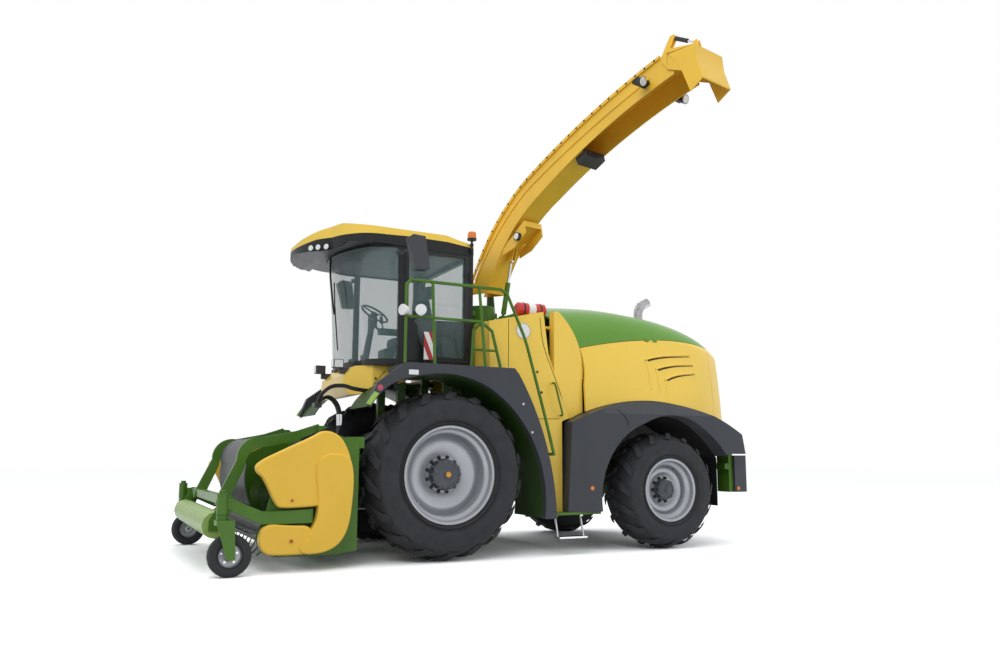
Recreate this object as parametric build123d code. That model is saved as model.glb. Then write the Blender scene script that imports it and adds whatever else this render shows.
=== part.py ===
from build123d import *
import math
import os

# Self-propelled forage harvester with a pickup header, in millimetres.
# X points forwards, Y to the machine's left, Z up. The origin lies on the ground under the
# middle of the front axle. Everything is drawn on the left and mirrored where a twin exists.

# Running gear
WHEELBASE = 3105
FRONT_TYRE_R = 960
FRONT_TYRE_W = 710
FRONT_RIM_R = 533
FRONT_RIM_W = 584
FRONT_WHEEL_Y = 1240
REAR_TYRE_R = 745
REAR_TYRE_W = 600
REAR_RIM_R = 381
REAR_RIM_W = 508
REAR_WHEEL_Y = 1255
KINGPIN_Y = 930
TYRE_WALL = 42
RIM_WALL = 14
RIM_FLANGE = 20
BEAD_W = 58
LUG_H_FRONT = 48
LUG_H_REAR = 40
LUG_LAG = 0.55
LUG_FLAT = 0.6
LUGS_FRONT = 18
LUGS_REAR = 16
WHEEL_SIDES = 32

# Running clearances
GAP = 6
SEAT = 0.3

# Frame
RAIL_Y0 = 340
RAIL_Y1 = 420
RAIL_Z0 = 960
RAIL_Z1 = 1200
RAIL_FRONT_X = 560
RAIL_REAR_X = -4330
TRUNNION_R = 60
DRAWBAR_Z0 = 540
DRAWBAR_Z1 = 580
HITCH_X = -4570
HITCH_R = 20

# Body outlines
FENDER_Y = 1600
FENDER_LIP = 90
DECK_Z = 2200
BODY_Y = 1330
SHEET = 30
REAR_FENDER_Y = 1540
HOOD_SHELL = 35
HOOD_HINGE_X = -3000
HOOD_HINGE_Y = 1300
HOOD_HINGE_Z = 2702
HOOD_PIN_R = 9
DOOR_DIP = 6
HOOD_NOTCH_R = 660

# Cab
CAB_Y = 925
CAB_FLOOR_Z = 2235
CAB_TOP_Z = 3690
CAB_REAR_X = -545
CAB_DOOR_X0 = -500
CAB_DOOR_X1 = 370
CAB_FRONT_BOTTOM_X = 900
CAB_FRONT_TOP_X = 1040
CAB_WALL = 55
DOOR_HINGE_X = CAB_DOOR_X0 + 3
DOOR_HINGE_Y = CAB_Y + 13
DOOR_HINGE_ZS = (2480, 3380)
GLASS = 8
RAIL_TUBE_R = 19

CHOPPER_TOP_Z = 2774

# Spout, drawn straight back and then swung to the machine's left
TURRET_X = -1100
TURRET_R = 300
TURRET_TOP = 3200
SPOUT_SWING = 78
SPOUT_ROOT_HALF = 141
SPOUT_TIP_HALF = 221
SPOUT_PIVOT_S = -60
SPOUT_PIVOT_Z = 3420
SPOUT_WALL = 10
FLAP_S = 3560
FLAP_Z = 5475

# Cylinders: an eye's radius is EYE_SHARE times the rod's, its hole EYE_HOLE times the eye's
EYE_SHARE = 1.9
EYE_HOLE = 0.45
# A rod's eye plays round its pin by this much, because its joints follow the moved part in proportion
LIFT_PLAY = 3.2
FLAP_PLAY = 4.6
HEADER_PLAY = 1.8
LIFT_FOOT = (480, 3000)
LIFT_TIP = (655, 3745)
LIFT_SMALL_PIN_R = 15
FLAP_FOOT = (3480, 5760)
FLAP_TIP = (3780, 5585)
FLAP_PIN_R = 10
HEADER_LIFT_FOOT = (-60, 560)
HEADER_LIFT_TIP = (860, 560)
HEADER_LIFT_Y = 450
HEADER_WALL_X = 1060
LIFT_PIN_R = 23.6

# Header
FEEDER_PIVOT_X = 290
FEEDER_PIVOT_Z = 1300
HEADER_Y = 1500
SHIELD_Y0 = 1545
SHIELD_Y1 = 1700
REEL_X = 1930
REEL_Z = 365
REEL_R = 250
AUGER_X = 1450
AUGER_Z = 670
AUGER_R = 270
PRESS_PIVOT_X = 1330
PRESS_PIVOT_Z = 1460
PRESS_ARM_Y = 900
GUARD_TUBE_X = 1960
GUARD_TUBE_Z = 1319
GUARD_TUBE_R = 24
ROLLER_X = 2470
ROLLER_Z = 470
ROLLER_R = 135
ROLLER_HALF = 1310
CASTER_X = 2470
CASTER_Y = 1655
CASTER_TRAIL = 90
GAUGE_R = 207
GAUGE_W = 150


def box(x0, x1, y0, y1, z0, z1):
    return Pos((x0 + x1) / 2, (y0 + y1) / 2, (z0 + z1) / 2) * Box(x1 - x0, y1 - y0, z1 - z0)


def outline(start, steps):
    """A closed face. Each step ends a line (u, v) or an arc (u, v through, u, v end)."""
    edges = []
    here = start
    for step in steps:
        end = tuple(step[-2:])
        if len(step) == 4:
            edges.append(ThreePointArc(here, tuple(step[:2]), end))
        else:
            edges.append(Line(here, end))
        here = end
    if here != start:
        edges.append(Line(here, start))
    return make_face(edges)


def side_plate(face, y0, y1):
    """Extrude a face drawn as (x, z) from y0 to y1."""
    return extrude(Plane.XZ.offset(-y1) * face, amount=y1 - y0)


def front_plate(face, x0, x1):
    """Extrude a face drawn as (y, z) from x0 to x1."""
    return extrude(Plane.YZ.offset(x0) * face, amount=x1 - x0)


def flat_plate(face, z0, z1):
    """Extrude a face drawn as (x, y) from z0 to z1."""
    return extrude(Plane.XY.offset(z0) * face, amount=z1 - z0)


def rod(start, end, radius):
    """A round bar between two points."""
    path = Vector(*end) - Vector(*start)
    plane = Plane(origin=start, z_dir=path)
    return extrude(plane * Circle(radius), amount=path.length)


def pipe(points, radius, bend):
    """An eight-sided tube along a run of points, with every corner cut back by the bend."""
    spots = [Vector(*p) for p in points]
    path = [spots[0]]
    for before, corner, after in zip(spots, spots[1:], spots[2:]):
        path.append(corner + (before - corner).normalized() * bend)
        path.append(corner + (after - corner).normalized() * bend)
    path.append(spots[-1])
    plane = Plane(origin=path[0], z_dir=path[1] - path[0])
    section = plane * RegularPolygon(radius, 8)
    return sweep(section, path=Polyline(*path), transition=Transition.RIGHT)


def bar(start, end, radius):
    """An eight-sided bar between two points."""
    path = Vector(*end) - Vector(*start)
    plane = Plane(origin=start, z_dir=path)
    return extrude(plane * RegularPolygon(radius, 8), amount=path.length)


def mirrored(shape):
    return mirror(shape, about=Plane.XZ)


def both(shape):
    return Compound([shape, mirrored(shape)])


def joined(parts):
    shape = parts[0]
    for part in parts[1:]:
        shape = shape + part
    return shape


# Wheels: drawn round the Y axis with the outside of the wheel towards +Y

def spun(points, sides):
    """Turn a closed outline of (radius, y) round the Y axis in flat facets."""

    def spot(k, r, y):
        a = 2 * math.pi * k / sides
        return (r * math.sin(a), y, r * math.cos(a))

    faces = []
    for k in range(sides):
        for (r0, y0), (r1, y1) in zip(points, points[1:] + points[:1]):
            corners = [spot(k, r0, y0)]
            for corner in (spot(k, r1, y1), spot(k + 1, r1, y1), spot(k + 1, r0, y0)):
                if math.dist(corner, corners[-1]) > 0.001 and math.dist(corner, corners[0]) > 0.001:
                    corners.append(corner)
            if len(corners) > 2:
                faces.append(Face(Wire.make_polygon([Vector(*c) for c in corners])))
    return Solid(Shell(faces))


def lug_lead(reach, bar_w):
    """How far ahead of the lug's root its outermost corner lies."""
    return LUG_LAG * LUG_FLAT * reach + bar_w * 0.5


def tyre(radius, width, rim_r, rim_w, lug_h, lugs):
    half = width / 2
    tread = radius - lug_h
    side = rim_r + 0.42 * (tread - rim_r)
    bead = rim_w / 2 - SEAT
    right = [
        (tread, 0.5 * half),
        (tread - 70, 0.93 * half),
        (side, half),
        (rim_r + RIM_FLANGE + 6, bead),
        (rim_r + SEAT, bead),
    ]
    cavity = [
        (rim_r + SEAT, bead - BEAD_W),
        (side, half - TYRE_WALL),
        (tread - TYRE_WALL, 0.5 * half),
    ]
    loop = right + cavity
    loop = loop + [(r, -y) for r, y in reversed(loop)]
    body = spun(loop, WHEEL_SIDES)
    reach = 0.93 * half
    bar_w = 0.095 * radius
    pitch = 360 / lugs
    lead = math.degrees(math.asin(lug_lead(reach, bar_w) / radius))
    pattern = []
    for side_sign, first in ((1, 180 - lead), (-1, 180 - lead + pitch / 2)):
        lug = lug_block(radius, reach, bar_w, lug_h, side_sign)
        pattern += [Rot(0, first + pitch * i, 0) * lug for i in range(lugs)]
    return body + pattern


def lug_block(radius, reach, bar_w, lug_h, side_sign):
    """One slanting bar at the top of the tyre, from the middle out to the shoulder."""
    lag = LUG_LAG * reach
    face = make_face(
        Polyline(
            (-bar_w * 0.5 - LUG_LAG * 6, -6),
            (bar_w * 0.5 - LUG_LAG * 6, -6),
            (lag + bar_w * 0.5, reach),
            (lag - bar_w * 0.5, reach),
            close=True,
        )
    )
    flat = LUG_FLAT * reach
    top = math.sqrt(radius**2 - lug_lead(reach, bar_w) ** 2)
    block = flat_plate(face, top - lug_h - 60, top)
    wedge = front_plate(
        outline((flat, top), [(reach + 30, top - 75), (reach + 30, radius + 20), (flat, radius + 20)]),
        -600,
        600,
    )
    block = block - wedge
    if side_sign < 0:
        block = mirrored(block)
    return block


def rim(rim_r, rim_w, disc_y, boss_r, hub_y):
    """Well base, disc and planetary hub of one wheel in a single turning piece."""
    half = rim_w / 2
    t = RIM_WALL
    seat_y = half - BEAD_W - 2
    well = rim_r - 55
    well_y = seat_y - 32
    face_y = disc_y + 70
    loop = [
        (rim_r, half),
        (rim_r + RIM_FLANGE, half),
        (rim_r + RIM_FLANGE, half + t),
        (rim_r - t, half + t),
        (rim_r - t, seat_y + 5),
        (well - t, well_y + 5),
        (well - t, disc_y + t),
        (0.70 * rim_r, face_y + t),
        (boss_r + 20, disc_y + 20 + t),
        (boss_r + 20, hub_y - 60),
        (boss_r - 25, hub_y),
        (0, hub_y),
        (0, disc_y - 60),
        (boss_r + 20, disc_y - 60),
        (boss_r + 20, disc_y + 20),
        (0.70 * rim_r, face_y),
        (well - t, disc_y),
        (well - t, -well_y - 5),
        (rim_r - t, -seat_y - 5),
        (rim_r - t, -half - t),
        (rim_r + RIM_FLANGE, -half - t),
        (rim_r + RIM_FLANGE, -half),
        (rim_r, -half),
        (rim_r, -seat_y),
        (well, -well_y),
        (well, well_y),
        (rim_r, seat_y),
    ]
    return spun(loop, WHEEL_SIDES)


def placed_wheel(shape, x, y, z):
    return Pos(x, y, z) * shape


def front_wheel():
    """Tyre and rim of the left front wheel."""
    rubber = tyre(FRONT_TYRE_R, FRONT_TYRE_W, FRONT_RIM_R, FRONT_RIM_W, LUG_H_FRONT, LUGS_FRONT)
    steel = rim(FRONT_RIM_R, FRONT_RIM_W, 40, 165, 235)
    place = (0, FRONT_WHEEL_Y, FRONT_TYRE_R)
    return placed_wheel(rubber, *place), placed_wheel(steel, *place)


def rear_wheel():
    """Tyre and rim of the left rear wheel."""
    rubber = tyre(REAR_TYRE_R, REAR_TYRE_W, REAR_RIM_R, REAR_RIM_W, LUG_H_REAR, LUGS_REAR)
    steel = rim(REAR_RIM_R, REAR_RIM_W, 40, 120, 200)
    place = (-WHEELBASE, REAR_WHEEL_Y, REAR_TYRE_R)
    return placed_wheel(rubber, *place), placed_wheel(steel, *place)


# Chassis

AXLE_TUBE = 150
FRONT_HUB_Y = FRONT_WHEEL_Y + 40 - 60 - SEAT


def axles():
    """Driven front axle with its final drives, and the steered rear axle beam."""
    z = FRONT_TYRE_R
    tube = rod((0, -760, z), (0, 760, z), AXLE_TUBE)
    drive = rod((0, 700, z), (0, 930, z), 250) + rod((0, 930, z), (0, FRONT_HUB_Y, z), 140)
    front = tube + drive + mirrored(drive)
    zr = REAR_TYRE_R
    beam = front_plate(
        outline(
            (0, zr + 130),
            [
                (500, zr + 110),
                (700, zr + 215),
                (KINGPIN_Y + 90, zr + 215),
                (KINGPIN_Y + 90, zr + 170),
                (760, zr + 170),
                (690, zr + 60),
                (690, zr - 60),
                (760, zr - 170),
                (KINGPIN_Y + 90, zr - 170),
                (KINGPIN_Y + 90, zr - 215),
                (700, zr - 215),
                (500, zr - 110),
                (0, zr - 100),
            ],
        ),
        -WHEELBASE - 110,
        -WHEELBASE + 110,
    )
    rear = beam + mirrored(beam)
    for bearing in (zr + 190, zr - 190):
        for y in (KINGPIN_Y, -KINGPIN_Y):
            rear = rear - rod((-WHEELBASE, y, bearing - 60), (-WHEELBASE, y, bearing + 60), 45)
    return Compound([front, rear])


def knuckle():
    """Left steering knuckle: kingpin, upright and wheel spindle."""
    z = REAR_TYRE_R
    x = -WHEELBASE
    pin = rod((x, KINGPIN_Y, z - 210), (x, KINGPIN_Y, z + 210), 44.7)
    upright = box(x - 85, x + 85, KINGPIN_Y - 75, KINGPIN_Y + 85, z - 162, z + 162)
    hub_end = REAR_WHEEL_Y + 40 - 60 - SEAT
    spindle = rod((x, KINGPIN_Y + 80, z), (x, hub_end, z), 105)
    return pin + upright + spindle


def main_frame():
    """Rails, cross members, cab posts, brackets, drawbar, step plates and rear lamp carriers."""
    rail = box(RAIL_REAR_X, RAIL_FRONT_X, RAIL_Y0, RAIL_Y1, RAIL_Z0, RAIL_Z1)
    bearing = box(FEEDER_PIVOT_X - 90, FEEDER_PIVOT_X + 90, RAIL_Y0 + 5, RAIL_Y1, RAIL_Z1, 1390)
    step = box(-2040, -1400, 1000, 1500, 470, 500)
    step_arm = box(-1800, -1640, RAIL_Y1, 1050, 440, 470)
    step_leg = box(-1800, -1640, RAIL_Y1, 460, 440, 1100)
    lamp_post = box(-4400, -4330, 1010, 1250, 690, 1210)
    lamp_arm = box(-4330, -4260, RAIL_Y1, 1250, 1000, 1080)
    side = [rail, bearing, step, step_arm, step_leg, lamp_post, lamp_arm, lift_lug()]
    for x in (-480, 140):
        side.append(box(x, x + 100, RAIL_Y0 + 10, RAIL_Y1, RAIL_Z1, CAB_FLOOR_Z - SEAT))
        side.append(box(x, x + 100, RAIL_Y1, CAB_Y + 15 - SEAT, 2150, 2190))
        tab = box(x, x + 100, 830, 900, 1940, 2160)
        side.append(tab - front_arch(12 + SEAT, 0, 2000))
    left = joined(side)
    middle = []
    for x in (-4300, -3600, -2500, -1750):
        middle.append(box(x - 40, x + 40, -RAIL_Y0, RAIL_Y0, RAIL_Z0 + 40, RAIL_Z1))
    x = -WHEELBASE
    middle.append(box(x - 120, x + 120, -60, 60, REAR_TYRE_R + 130 + SEAT, RAIL_Z0 + 60))
    middle.append(box(x - 120, x + 120, -RAIL_Y0, RAIL_Y0, RAIL_Z0 + 40, RAIL_Z1))
    for x in (-4200, -2060):
        post = box(x, x + 60, -60, 60, RAIL_Z1 - 100, 3400)
        middle.append(post & hood_solid(HOOD_SHELL + SEAT))
        middle.append(box(x, x + 60, -60, 60, RAIL_Z1 - 100, 1400))
        middle.append(box(x, x + 60, -RAIL_Y0, RAIL_Y0, RAIL_Z0 + 40, RAIL_Z1))
    drawbar = side_plate(
        outline(
            (-4330, 1000),
            [(-4260, 1000), (-4260, 620), (-4480, DRAWBAR_Z0), (-4620, DRAWBAR_Z0),
             (-4620, DRAWBAR_Z1), (-4510, DRAWBAR_Z1), (-4400, 620)],
        ),
        -90,
        90,
    )
    frame = joined([left, mirrored(left)] + middle + [drawbar])
    frame = frame - rod((HITCH_X, 0, 500), (HITCH_X, 0, 700), HITCH_R)
    trunnion = rod((FEEDER_PIVOT_X, -500, FEEDER_PIVOT_Z), (FEEDER_PIVOT_X, 500, FEEDER_PIVOT_Z),
                   TRUNNION_R + SEAT)
    axle_hole = rod((0, -500, FRONT_TYRE_R), (0, 500, FRONT_TYRE_R), AXLE_TUBE + SEAT)
    return frame - axle_hole - trunnion


def lift_lug():
    """Plate under the left rail with the pin for the header lift cylinder's foot."""
    x, z = HEADER_LIFT_FOOT
    plate = side_plate(
        outline((-320, RAIL_Z0), [(-155, RAIL_Z0), (x + 50, z + 40), (x + 50, z - 50), (x - 50, z - 50),
                                  (-320, 800)]),
        RAIL_Y1 - 20,
        RAIL_Y1 - 2,
    )
    pin = rod((x, RAIL_Y1 - 10, z), (x, HEADER_LIFT_Y + 32, z), LIFT_PIN_R)
    return plate + pin


def folding_step():
    """Chrome step under the left tread plate, on two hangers."""
    step = box(-1800, -1410, 1440, 1560, 200, 222)
    for x in (-1790, -1430):
        pad = box(x - 20, x + 20, 1395, 1445, 450, 470 - SEAT)
        step = step + bar((x, 1420, 455), (x + 10, 1500, 215), 12) + pad
    return step


def chopper_unit():
    """Feed rollers, drum housing and blower duct up to the turret, between the rails."""
    profile = outline(
        (200, 620),
        [
            (200, 1290),
            (60, 1420),
            (-500, 1560),
            (-820, 2000),
            (-830, CHOPPER_TOP_Z),
            (-1370, CHOPPER_TOP_Z),
            (-1370, 1250),
            (-900, 700),
            (-500, 560),
        ],
    )
    housing = side_plate(profile, -RAIL_Y0 + SEAT, RAIL_Y0 - SEAT)
    axle = rod((0, -500, FRONT_TYRE_R), (0, 500, FRONT_TYRE_R), AXLE_TUBE + SEAT)
    return housing - axle


def engine_block():
    return box(-3950, -2150, -RAIL_Y0 + 20, RAIL_Y0 - 20, RAIL_Z1 + SEAT, 2250)


# Wheel arches and fenders

def front_arch(inset, y0, y1):
    """Inside line of the front arch as a solid, with its surface moved out by inset."""
    i = inset
    return side_plate(
        outline(
            (-1190 - i, 440 - i),
            [
                (-1060 - i, 1290 + i, -470 - i * 0.6, 1945 + i),
                (-30, 2085 + i, 470, 2040 + i),
                (760 + i * 0.5, 1930 + i, 960 + i, 1700 + i * 0.5),
                (960 + i, 440 - i),
            ],
        ),
        y0,
        y1,
    )


def front_fender():
    """Left fender with the flat walking deck on top and the outer lip down its rear edge."""
    whole = side_plate(
        outline(
            (-1360, 440),
            [
                (-1225, 1280, -850, 2130),
                (-790, DECK_Z),
                (570, DECK_Z),
                (900, 1960),
                (1000, 1715),
                (960, 1690),
                (780, 440),
            ],
        ),
        FENDER_Y - FENDER_LIP,
        FENDER_Y,
    )
    lip = whole - front_arch(0, 0, 2000)
    deck = box(-790, 560, CAB_Y + 15, FENDER_Y - FENDER_LIP, DECK_Z - 60, DECK_Z)
    return lip + deck


def front_liner():
    """Green liner inside the left front arch."""
    reach = FENDER_Y - FENDER_LIP - SEAT
    shell = front_arch(12, 812, reach) - front_arch(0, 500, 2000)
    shell = shell - box(-2000, 2000, 0, 2000, 0, 452)
    return shell - box(945, 1100, 0, 2000, 0, 1700)


def rear_arch(inset, y0, y1):
    """Inside line of the rear arch as a solid."""
    i = inset
    return side_plate(
        outline(
            (-2050 + i, 500 - i),
            [
                (-2250 + i, 1270 + i * 0.7, -2730, 1600 + i),
                (-3210, 1700 + i, -3720, 1500 + i),
                (-3960 - i, 1290 + i, -4070 - i, 1150),
                (-4070 - i, 500 - i),
            ],
        ),
        y0,
        y1,
    )


def fender_top(gap):
    """Top line of the rear fender from front to rear, raised by gap."""
    return [(-2900, 1890 + gap, -4330, 1470 + gap)]


def rear_fender():
    """Left rear fender: the skirt ahead of the wheel and the arch band over it."""
    steps = [(-1650, 1590)] + fender_top(0) + [(-4380, 1210), (-4050, 1210), (-4050, 500)]
    whole = side_plate(outline((-1590, 500), steps), 1290, REAR_FENDER_Y)
    outer = whole - rear_arch(0, 0, 2000)
    bevel = front_plate(
        outline((1380, 1900), [(REAR_FENDER_Y + 5, 1900), (REAR_FENDER_Y + 5, 1700)]), -4600, -2080
    )
    wedge = flat_plate(
        outline((-1500, 1440), [(-1500, 1700), (-1850, 1700), (-1850, REAR_FENDER_Y)]), 400, 2000
    )
    lamp_box = box(-4610, -4400 - SEAT, 960, 1290, 690, 1190)
    return Compound([outer - bevel - wedge, lamp_box])


def rear_liner():
    """Green liner inside the left rear arch."""
    shell = rear_arch(12, RAIL_Y1 + SEAT, 1290 - SEAT) - rear_arch(0, 0, 2000)
    return shell - box(-5000, -1000, 0, 2000, 0, 512)


# Body

def body_front():
    """Yellow panels between cab and hood on both sides, joined by the deck under the turret."""
    y = BODY_Y
    side = side_plate(
        outline(
            (-590, DECK_Z + SEAT),
            [
                (-575, 2790),
                (-1330, 2960),
                (-1400, 2440),
                (-1690, 1640),
                (-1590, 1600),
                (-1590 + SEAT, 500 + SEAT),
                (-1395, 500 + SEAT),
                (-1260, 1280, -885, 2130),
                (-820, DECK_Z + SEAT),
            ],
        ),
        y - 140,
        y,
    )
    strip = side_plate(
        outline(
            (-1330, 2960),
            [(-1570 + GAP, 2990), (-1850 + GAP, 2700, -1960 + GAP, 2080), (-1964, 1640), (-1690, 1640),
             (-1400, 2440)],
        ),
        y - 140,
        y,
    )
    turn = flat_plate(outline((-1330, y), [(-2000, y), (-2000, y - 110)]), 1500, 3100)
    strip = (strip - turn) & above_fender(SEAT)
    side = side + strip
    deck = box(-1560, -590, -y + 140, y - 140, 2775, 2805)
    hole = rod((TURRET_X, 0, 2700), (TURRET_X, 0, 2900), TURRET_R - 40)
    front_wall = box(-590 - SHEET, -590, -y + 140, y - 140, DECK_Z + 5, 2775)
    return side + mirrored(side) + (deck - hole) + front_wall


# Hood sections: x, half width at the sill, half width and height of the shoulder,
# half width and height of the crown's edge, height of the crown
HOOD_SECTIONS = [
    (-1570, 1270, 1180, 2560, 800, 3060, 3200),
    (-2700, 1370, 1290, 2700, 840, 3120, 3250),
    (-3700, 1350, 1240, 2690, 780, 2960, 3090),
    (-4400, 1080, 960, 2560, 560, 2690, 2750),
]


def hood_section(row, inset):
    x, sill, shoulder, shoulder_z, edge, edge_z, crown_z = row
    i = inset
    sill_z = 1300
    face = outline(
        (-sill + i, sill_z),
        [
            (-(sill + shoulder) / 2 - 25 + i, (sill_z + shoulder_z) / 2, -shoulder + i, shoulder_z),
            (-(shoulder + edge) / 2 - 70 + i, (shoulder_z + edge_z) / 2 + 60 - i, -edge, edge_z - i),
            (0, crown_z - i, edge, edge_z - i),
            ((shoulder + edge) / 2 + 70 - i, (shoulder_z + edge_z) / 2 + 60 - i, shoulder - i, shoulder_z),
            ((sill + shoulder) / 2 + 25 - i, (sill_z + shoulder_z) / 2, sill - i, sill_z),
        ],
    )
    return Plane.YZ.offset(x) * face


def hood_solid(inset):
    return loft([hood_section(row, inset) for row in HOOD_SECTIONS])


def above_fender(gap):
    """Everything above the rear fender's top line."""
    steps = [(-1650, 1590 + gap)] + fender_top(gap) + [(-4700, 1400 + gap), (-4700, 3600), (-1500, 3600)]
    return side_plate(outline((-1500, 1540 + gap), steps), -1600, 1600)


def seam_cut(gap):
    """Everything above the line between the yellow side and the green top."""
    return side_plate(
        outline(
            (-1500, 2440 + gap),
            [(-2700, 2690 + gap, -4150, 2700 + gap), (-4700, 2690 + gap), (-4700, 3600), (-1500, 3600)],
        ),
        -1600,
        1600,
    )


def hood_front_cut(gap):
    """Everything behind the curved front edge of the hood."""
    return side_plate(
        outline(
            (-1570 - gap, 3400),
            [
                (-1570 - gap, 2990),
                (-1850 - gap, 2700, -1960 - gap, 2080),
                (-1970 - gap, 1400),
                (-4800, 1400),
                (-4800, 3400),
            ],
        ),
        -1600,
        1600,
    )


def hood_knuckle(x0, x1, radius):
    """A length of the left door's hinge line."""
    return rod((x0, HOOD_HINGE_Y, HOOD_HINGE_Z), (x1, HOOD_HINGE_Y, HOOD_HINGE_Z), radius)


DOOR_REAR_X = -4140


def hood_parts():
    """Green top notched for the slewing spout, two yellow side doors and the rear end with its grille."""
    shell = (hood_solid(0) & above_fender(SEAT)) & hood_front_cut(0)
    shell = shell - (hood_solid(HOOD_SHELL) & box(-4365, -1500, -1500, 1500, 1200, 3500))
    notch = rod((TURRET_X, 0, 2850), (TURRET_X, 0, 3400), HOOD_NOTCH_R)
    top = (shell & seam_cut(0)) - notch
    lower = (shell - seam_cut(-GAP)) & above_fender(GAP)
    side = (lower & hood_front_cut(DOOR_DIP)) & box(DOOR_REAR_X, -1500, 500, 1600, 1200, 3300)
    for x0, x1 in ((HOOD_HINGE_X - 100, HOOD_HINGE_X - 30), (HOOD_HINGE_X + 30, HOOD_HINGE_X + 100)):
        leaf = box(x0, x1, HOOD_HINGE_Y - 8, HOOD_HINGE_Y + 8, HOOD_HINGE_Z, HOOD_HINGE_Z + 24)
        knuckle_half = hood_knuckle(x0, x1, HOOD_PIN_R) + leaf
        top = joined([top, knuckle_half, mirrored(knuckle_half)])
        slot = box(
            x0 - SEAT, x1 + SEAT, HOOD_HINGE_Y - 14, HOOD_HINGE_Y + 14, HOOD_HINGE_Z, HOOD_HINGE_Z + 40
        )
        side = side - hood_knuckle(x0 - SEAT, x1 + SEAT, HOOD_PIN_R + 5) - slot
    side = side + hood_knuckle(HOOD_HINGE_X - 30 + SEAT, HOOD_HINGE_X + 30 - SEAT, HOOD_PIN_R)
    rear = (shell - seam_cut(-SEAT)) & box(-4800, DOOR_REAR_X - GAP, -1600, 1600, 1200, 3300)
    rear = rear - box(-4500, -4300, -700, 700, 1750, 2420)
    slats = [box(-4395, -4366, -700, 700, z, z + 45) for z in range(1790, 2420, 90)]
    rear = joined([rear] + slats)
    return top, side, rear


# Cab

def cab_plan(front_x, inset):
    """Plan of the cab with its bowed windscreen."""
    i = inset
    y = CAB_Y - i
    return outline(
        (CAB_REAR_X + i, -y),
        [
            (CAB_DOOR_X1 + 30, -y),
            (CAB_DOOR_X1 + 330, -y + 55, front_x - 130 - i, -y + 330),
            (front_x - i, 0, front_x - 130 - i, y - 330),
            (CAB_DOOR_X1 + 330, y - 55, CAB_DOOR_X1 + 30, y),
            (CAB_REAR_X + i, y),
        ],
    )


def cab_solid(inset, z0, z1):
    low = Plane.XY.offset(z0) * cab_plan(CAB_FRONT_BOTTOM_X, inset)
    high = Plane.XY.offset(z1) * cab_plan(CAB_FRONT_TOP_X, inset)
    return loft([low, high], ruled=True)


def cab_parts():
    """Hollow frame with its window and door openings, and the fixed panes."""
    top = CAB_TOP_Z
    shell = cab_solid(0, CAB_FLOOR_Z, top) - cab_solid(CAB_WALL, CAB_FLOOR_Z + 60, top - 20)
    screen_cut = box(CAB_DOOR_X1 + 70, 1500, -1500, 1500, CAB_FLOOR_Z + 70, top - 30)
    side_cut = box(CAB_DOOR_X0 + 60, CAB_DOOR_X1, -1500, -500, CAB_FLOOR_Z + 90, top - 30)
    door_cut = box(CAB_DOOR_X0, CAB_DOOR_X1, 500, 1500, CAB_FLOOR_Z + 60, top - 20)
    rear_cut = box(CAB_REAR_X - 100, CAB_REAR_X + 150, -700, 700, 2860, top - 60)
    frame = shell - screen_cut - side_cut - door_cut - rear_cut
    frame = joined([frame] + door_hinge_leaves())
    pane_skin = cab_solid(20, CAB_FLOOR_Z, top) - cab_solid(20 + GLASS, CAB_FLOOR_Z, top)
    e = SEAT
    screen = pane_skin & box(
        CAB_DOOR_X1 + 70 + e, 1500, -1500, 1500, CAB_FLOOR_Z + 70 + e, top - 30 - e
    )
    side_pane = pane_skin & box(
        CAB_DOOR_X0 + 60 + e, CAB_DOOR_X1 - e, -1500, -500, CAB_FLOOR_Z + 90 + e, top - 30 - e
    )
    rear_pane = box(CAB_REAR_X + 20, CAB_REAR_X + 28, -700 + e, 700 - e, 2860 + e, top - 60 - e)
    return frame, Compound([screen, side_pane, rear_pane])


def cab_door():
    """Left door frame with a lower panel, hinge knuckles and a handle, and its pane."""
    x0 = CAB_DOOR_X0 + GAP
    x1 = CAB_DOOR_X1 - GAP
    z0 = CAB_FLOOR_Z + 60 + GAP
    z1 = CAB_TOP_Z - 20 - GAP
    slab = box(x0, x1, CAB_Y - 45, CAB_Y, z0, z1)

    def light(inset, y0, y1):
        return side_plate(
            outline(
                (x0 + 60 + inset, z0 + 60 + inset),
                [
                    (x1 - 420, z0 + 60 + inset),
                    (x1 - 260 - inset, z0 + 160 + inset, x1 - 180 - inset, z0 + 420),
                    (x1 - 50 - inset, z0 + 560),
                    (x1 - 50 - inset, z1 - 35 - inset),
                    (x0 + 60 + inset, z1 - 35 - inset),
                ],
            ),
            y0,
            y1,
        )

    handle = box(x1 - 150, x1 - 100, CAB_Y, CAB_Y + 25, 2800, 2900)
    frame = slab - light(0, CAB_Y - 100, CAB_Y + 100)
    knuckles = []
    for z in DOOR_HINGE_ZS:
        knuckles.append(rod((DOOR_HINGE_X, DOOR_HINGE_Y, z), (DOOR_HINGE_X, DOOR_HINGE_Y, z + 40), 12))
        knuckles.append(box(DOOR_HINGE_X + 7, DOOR_HINGE_X + 67, CAB_Y - 1, CAB_Y + 12, z, z + 40))
    return joined([frame, handle] + knuckles), light(SEAT, CAB_Y - 30, CAB_Y - 30 + GLASS)


def door_hinge_leaves():
    """The cab's own knuckles, one above and one below each of the door's."""
    leaves = []
    for z in DOOR_HINGE_ZS:
        for z0, z1 in ((z - 40, z - SEAT), (z + 40 + SEAT, z + 80)):
            leaves.append(rod((DOOR_HINGE_X, DOOR_HINGE_Y, z0), (DOOR_HINGE_X, DOOR_HINGE_Y, z1), 12))
            leaves.append(box(DOOR_HINGE_X - 33, DOOR_HINGE_X - 3, CAB_Y - 10, CAB_Y + 19, z0, z1))
    return leaves


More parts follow.
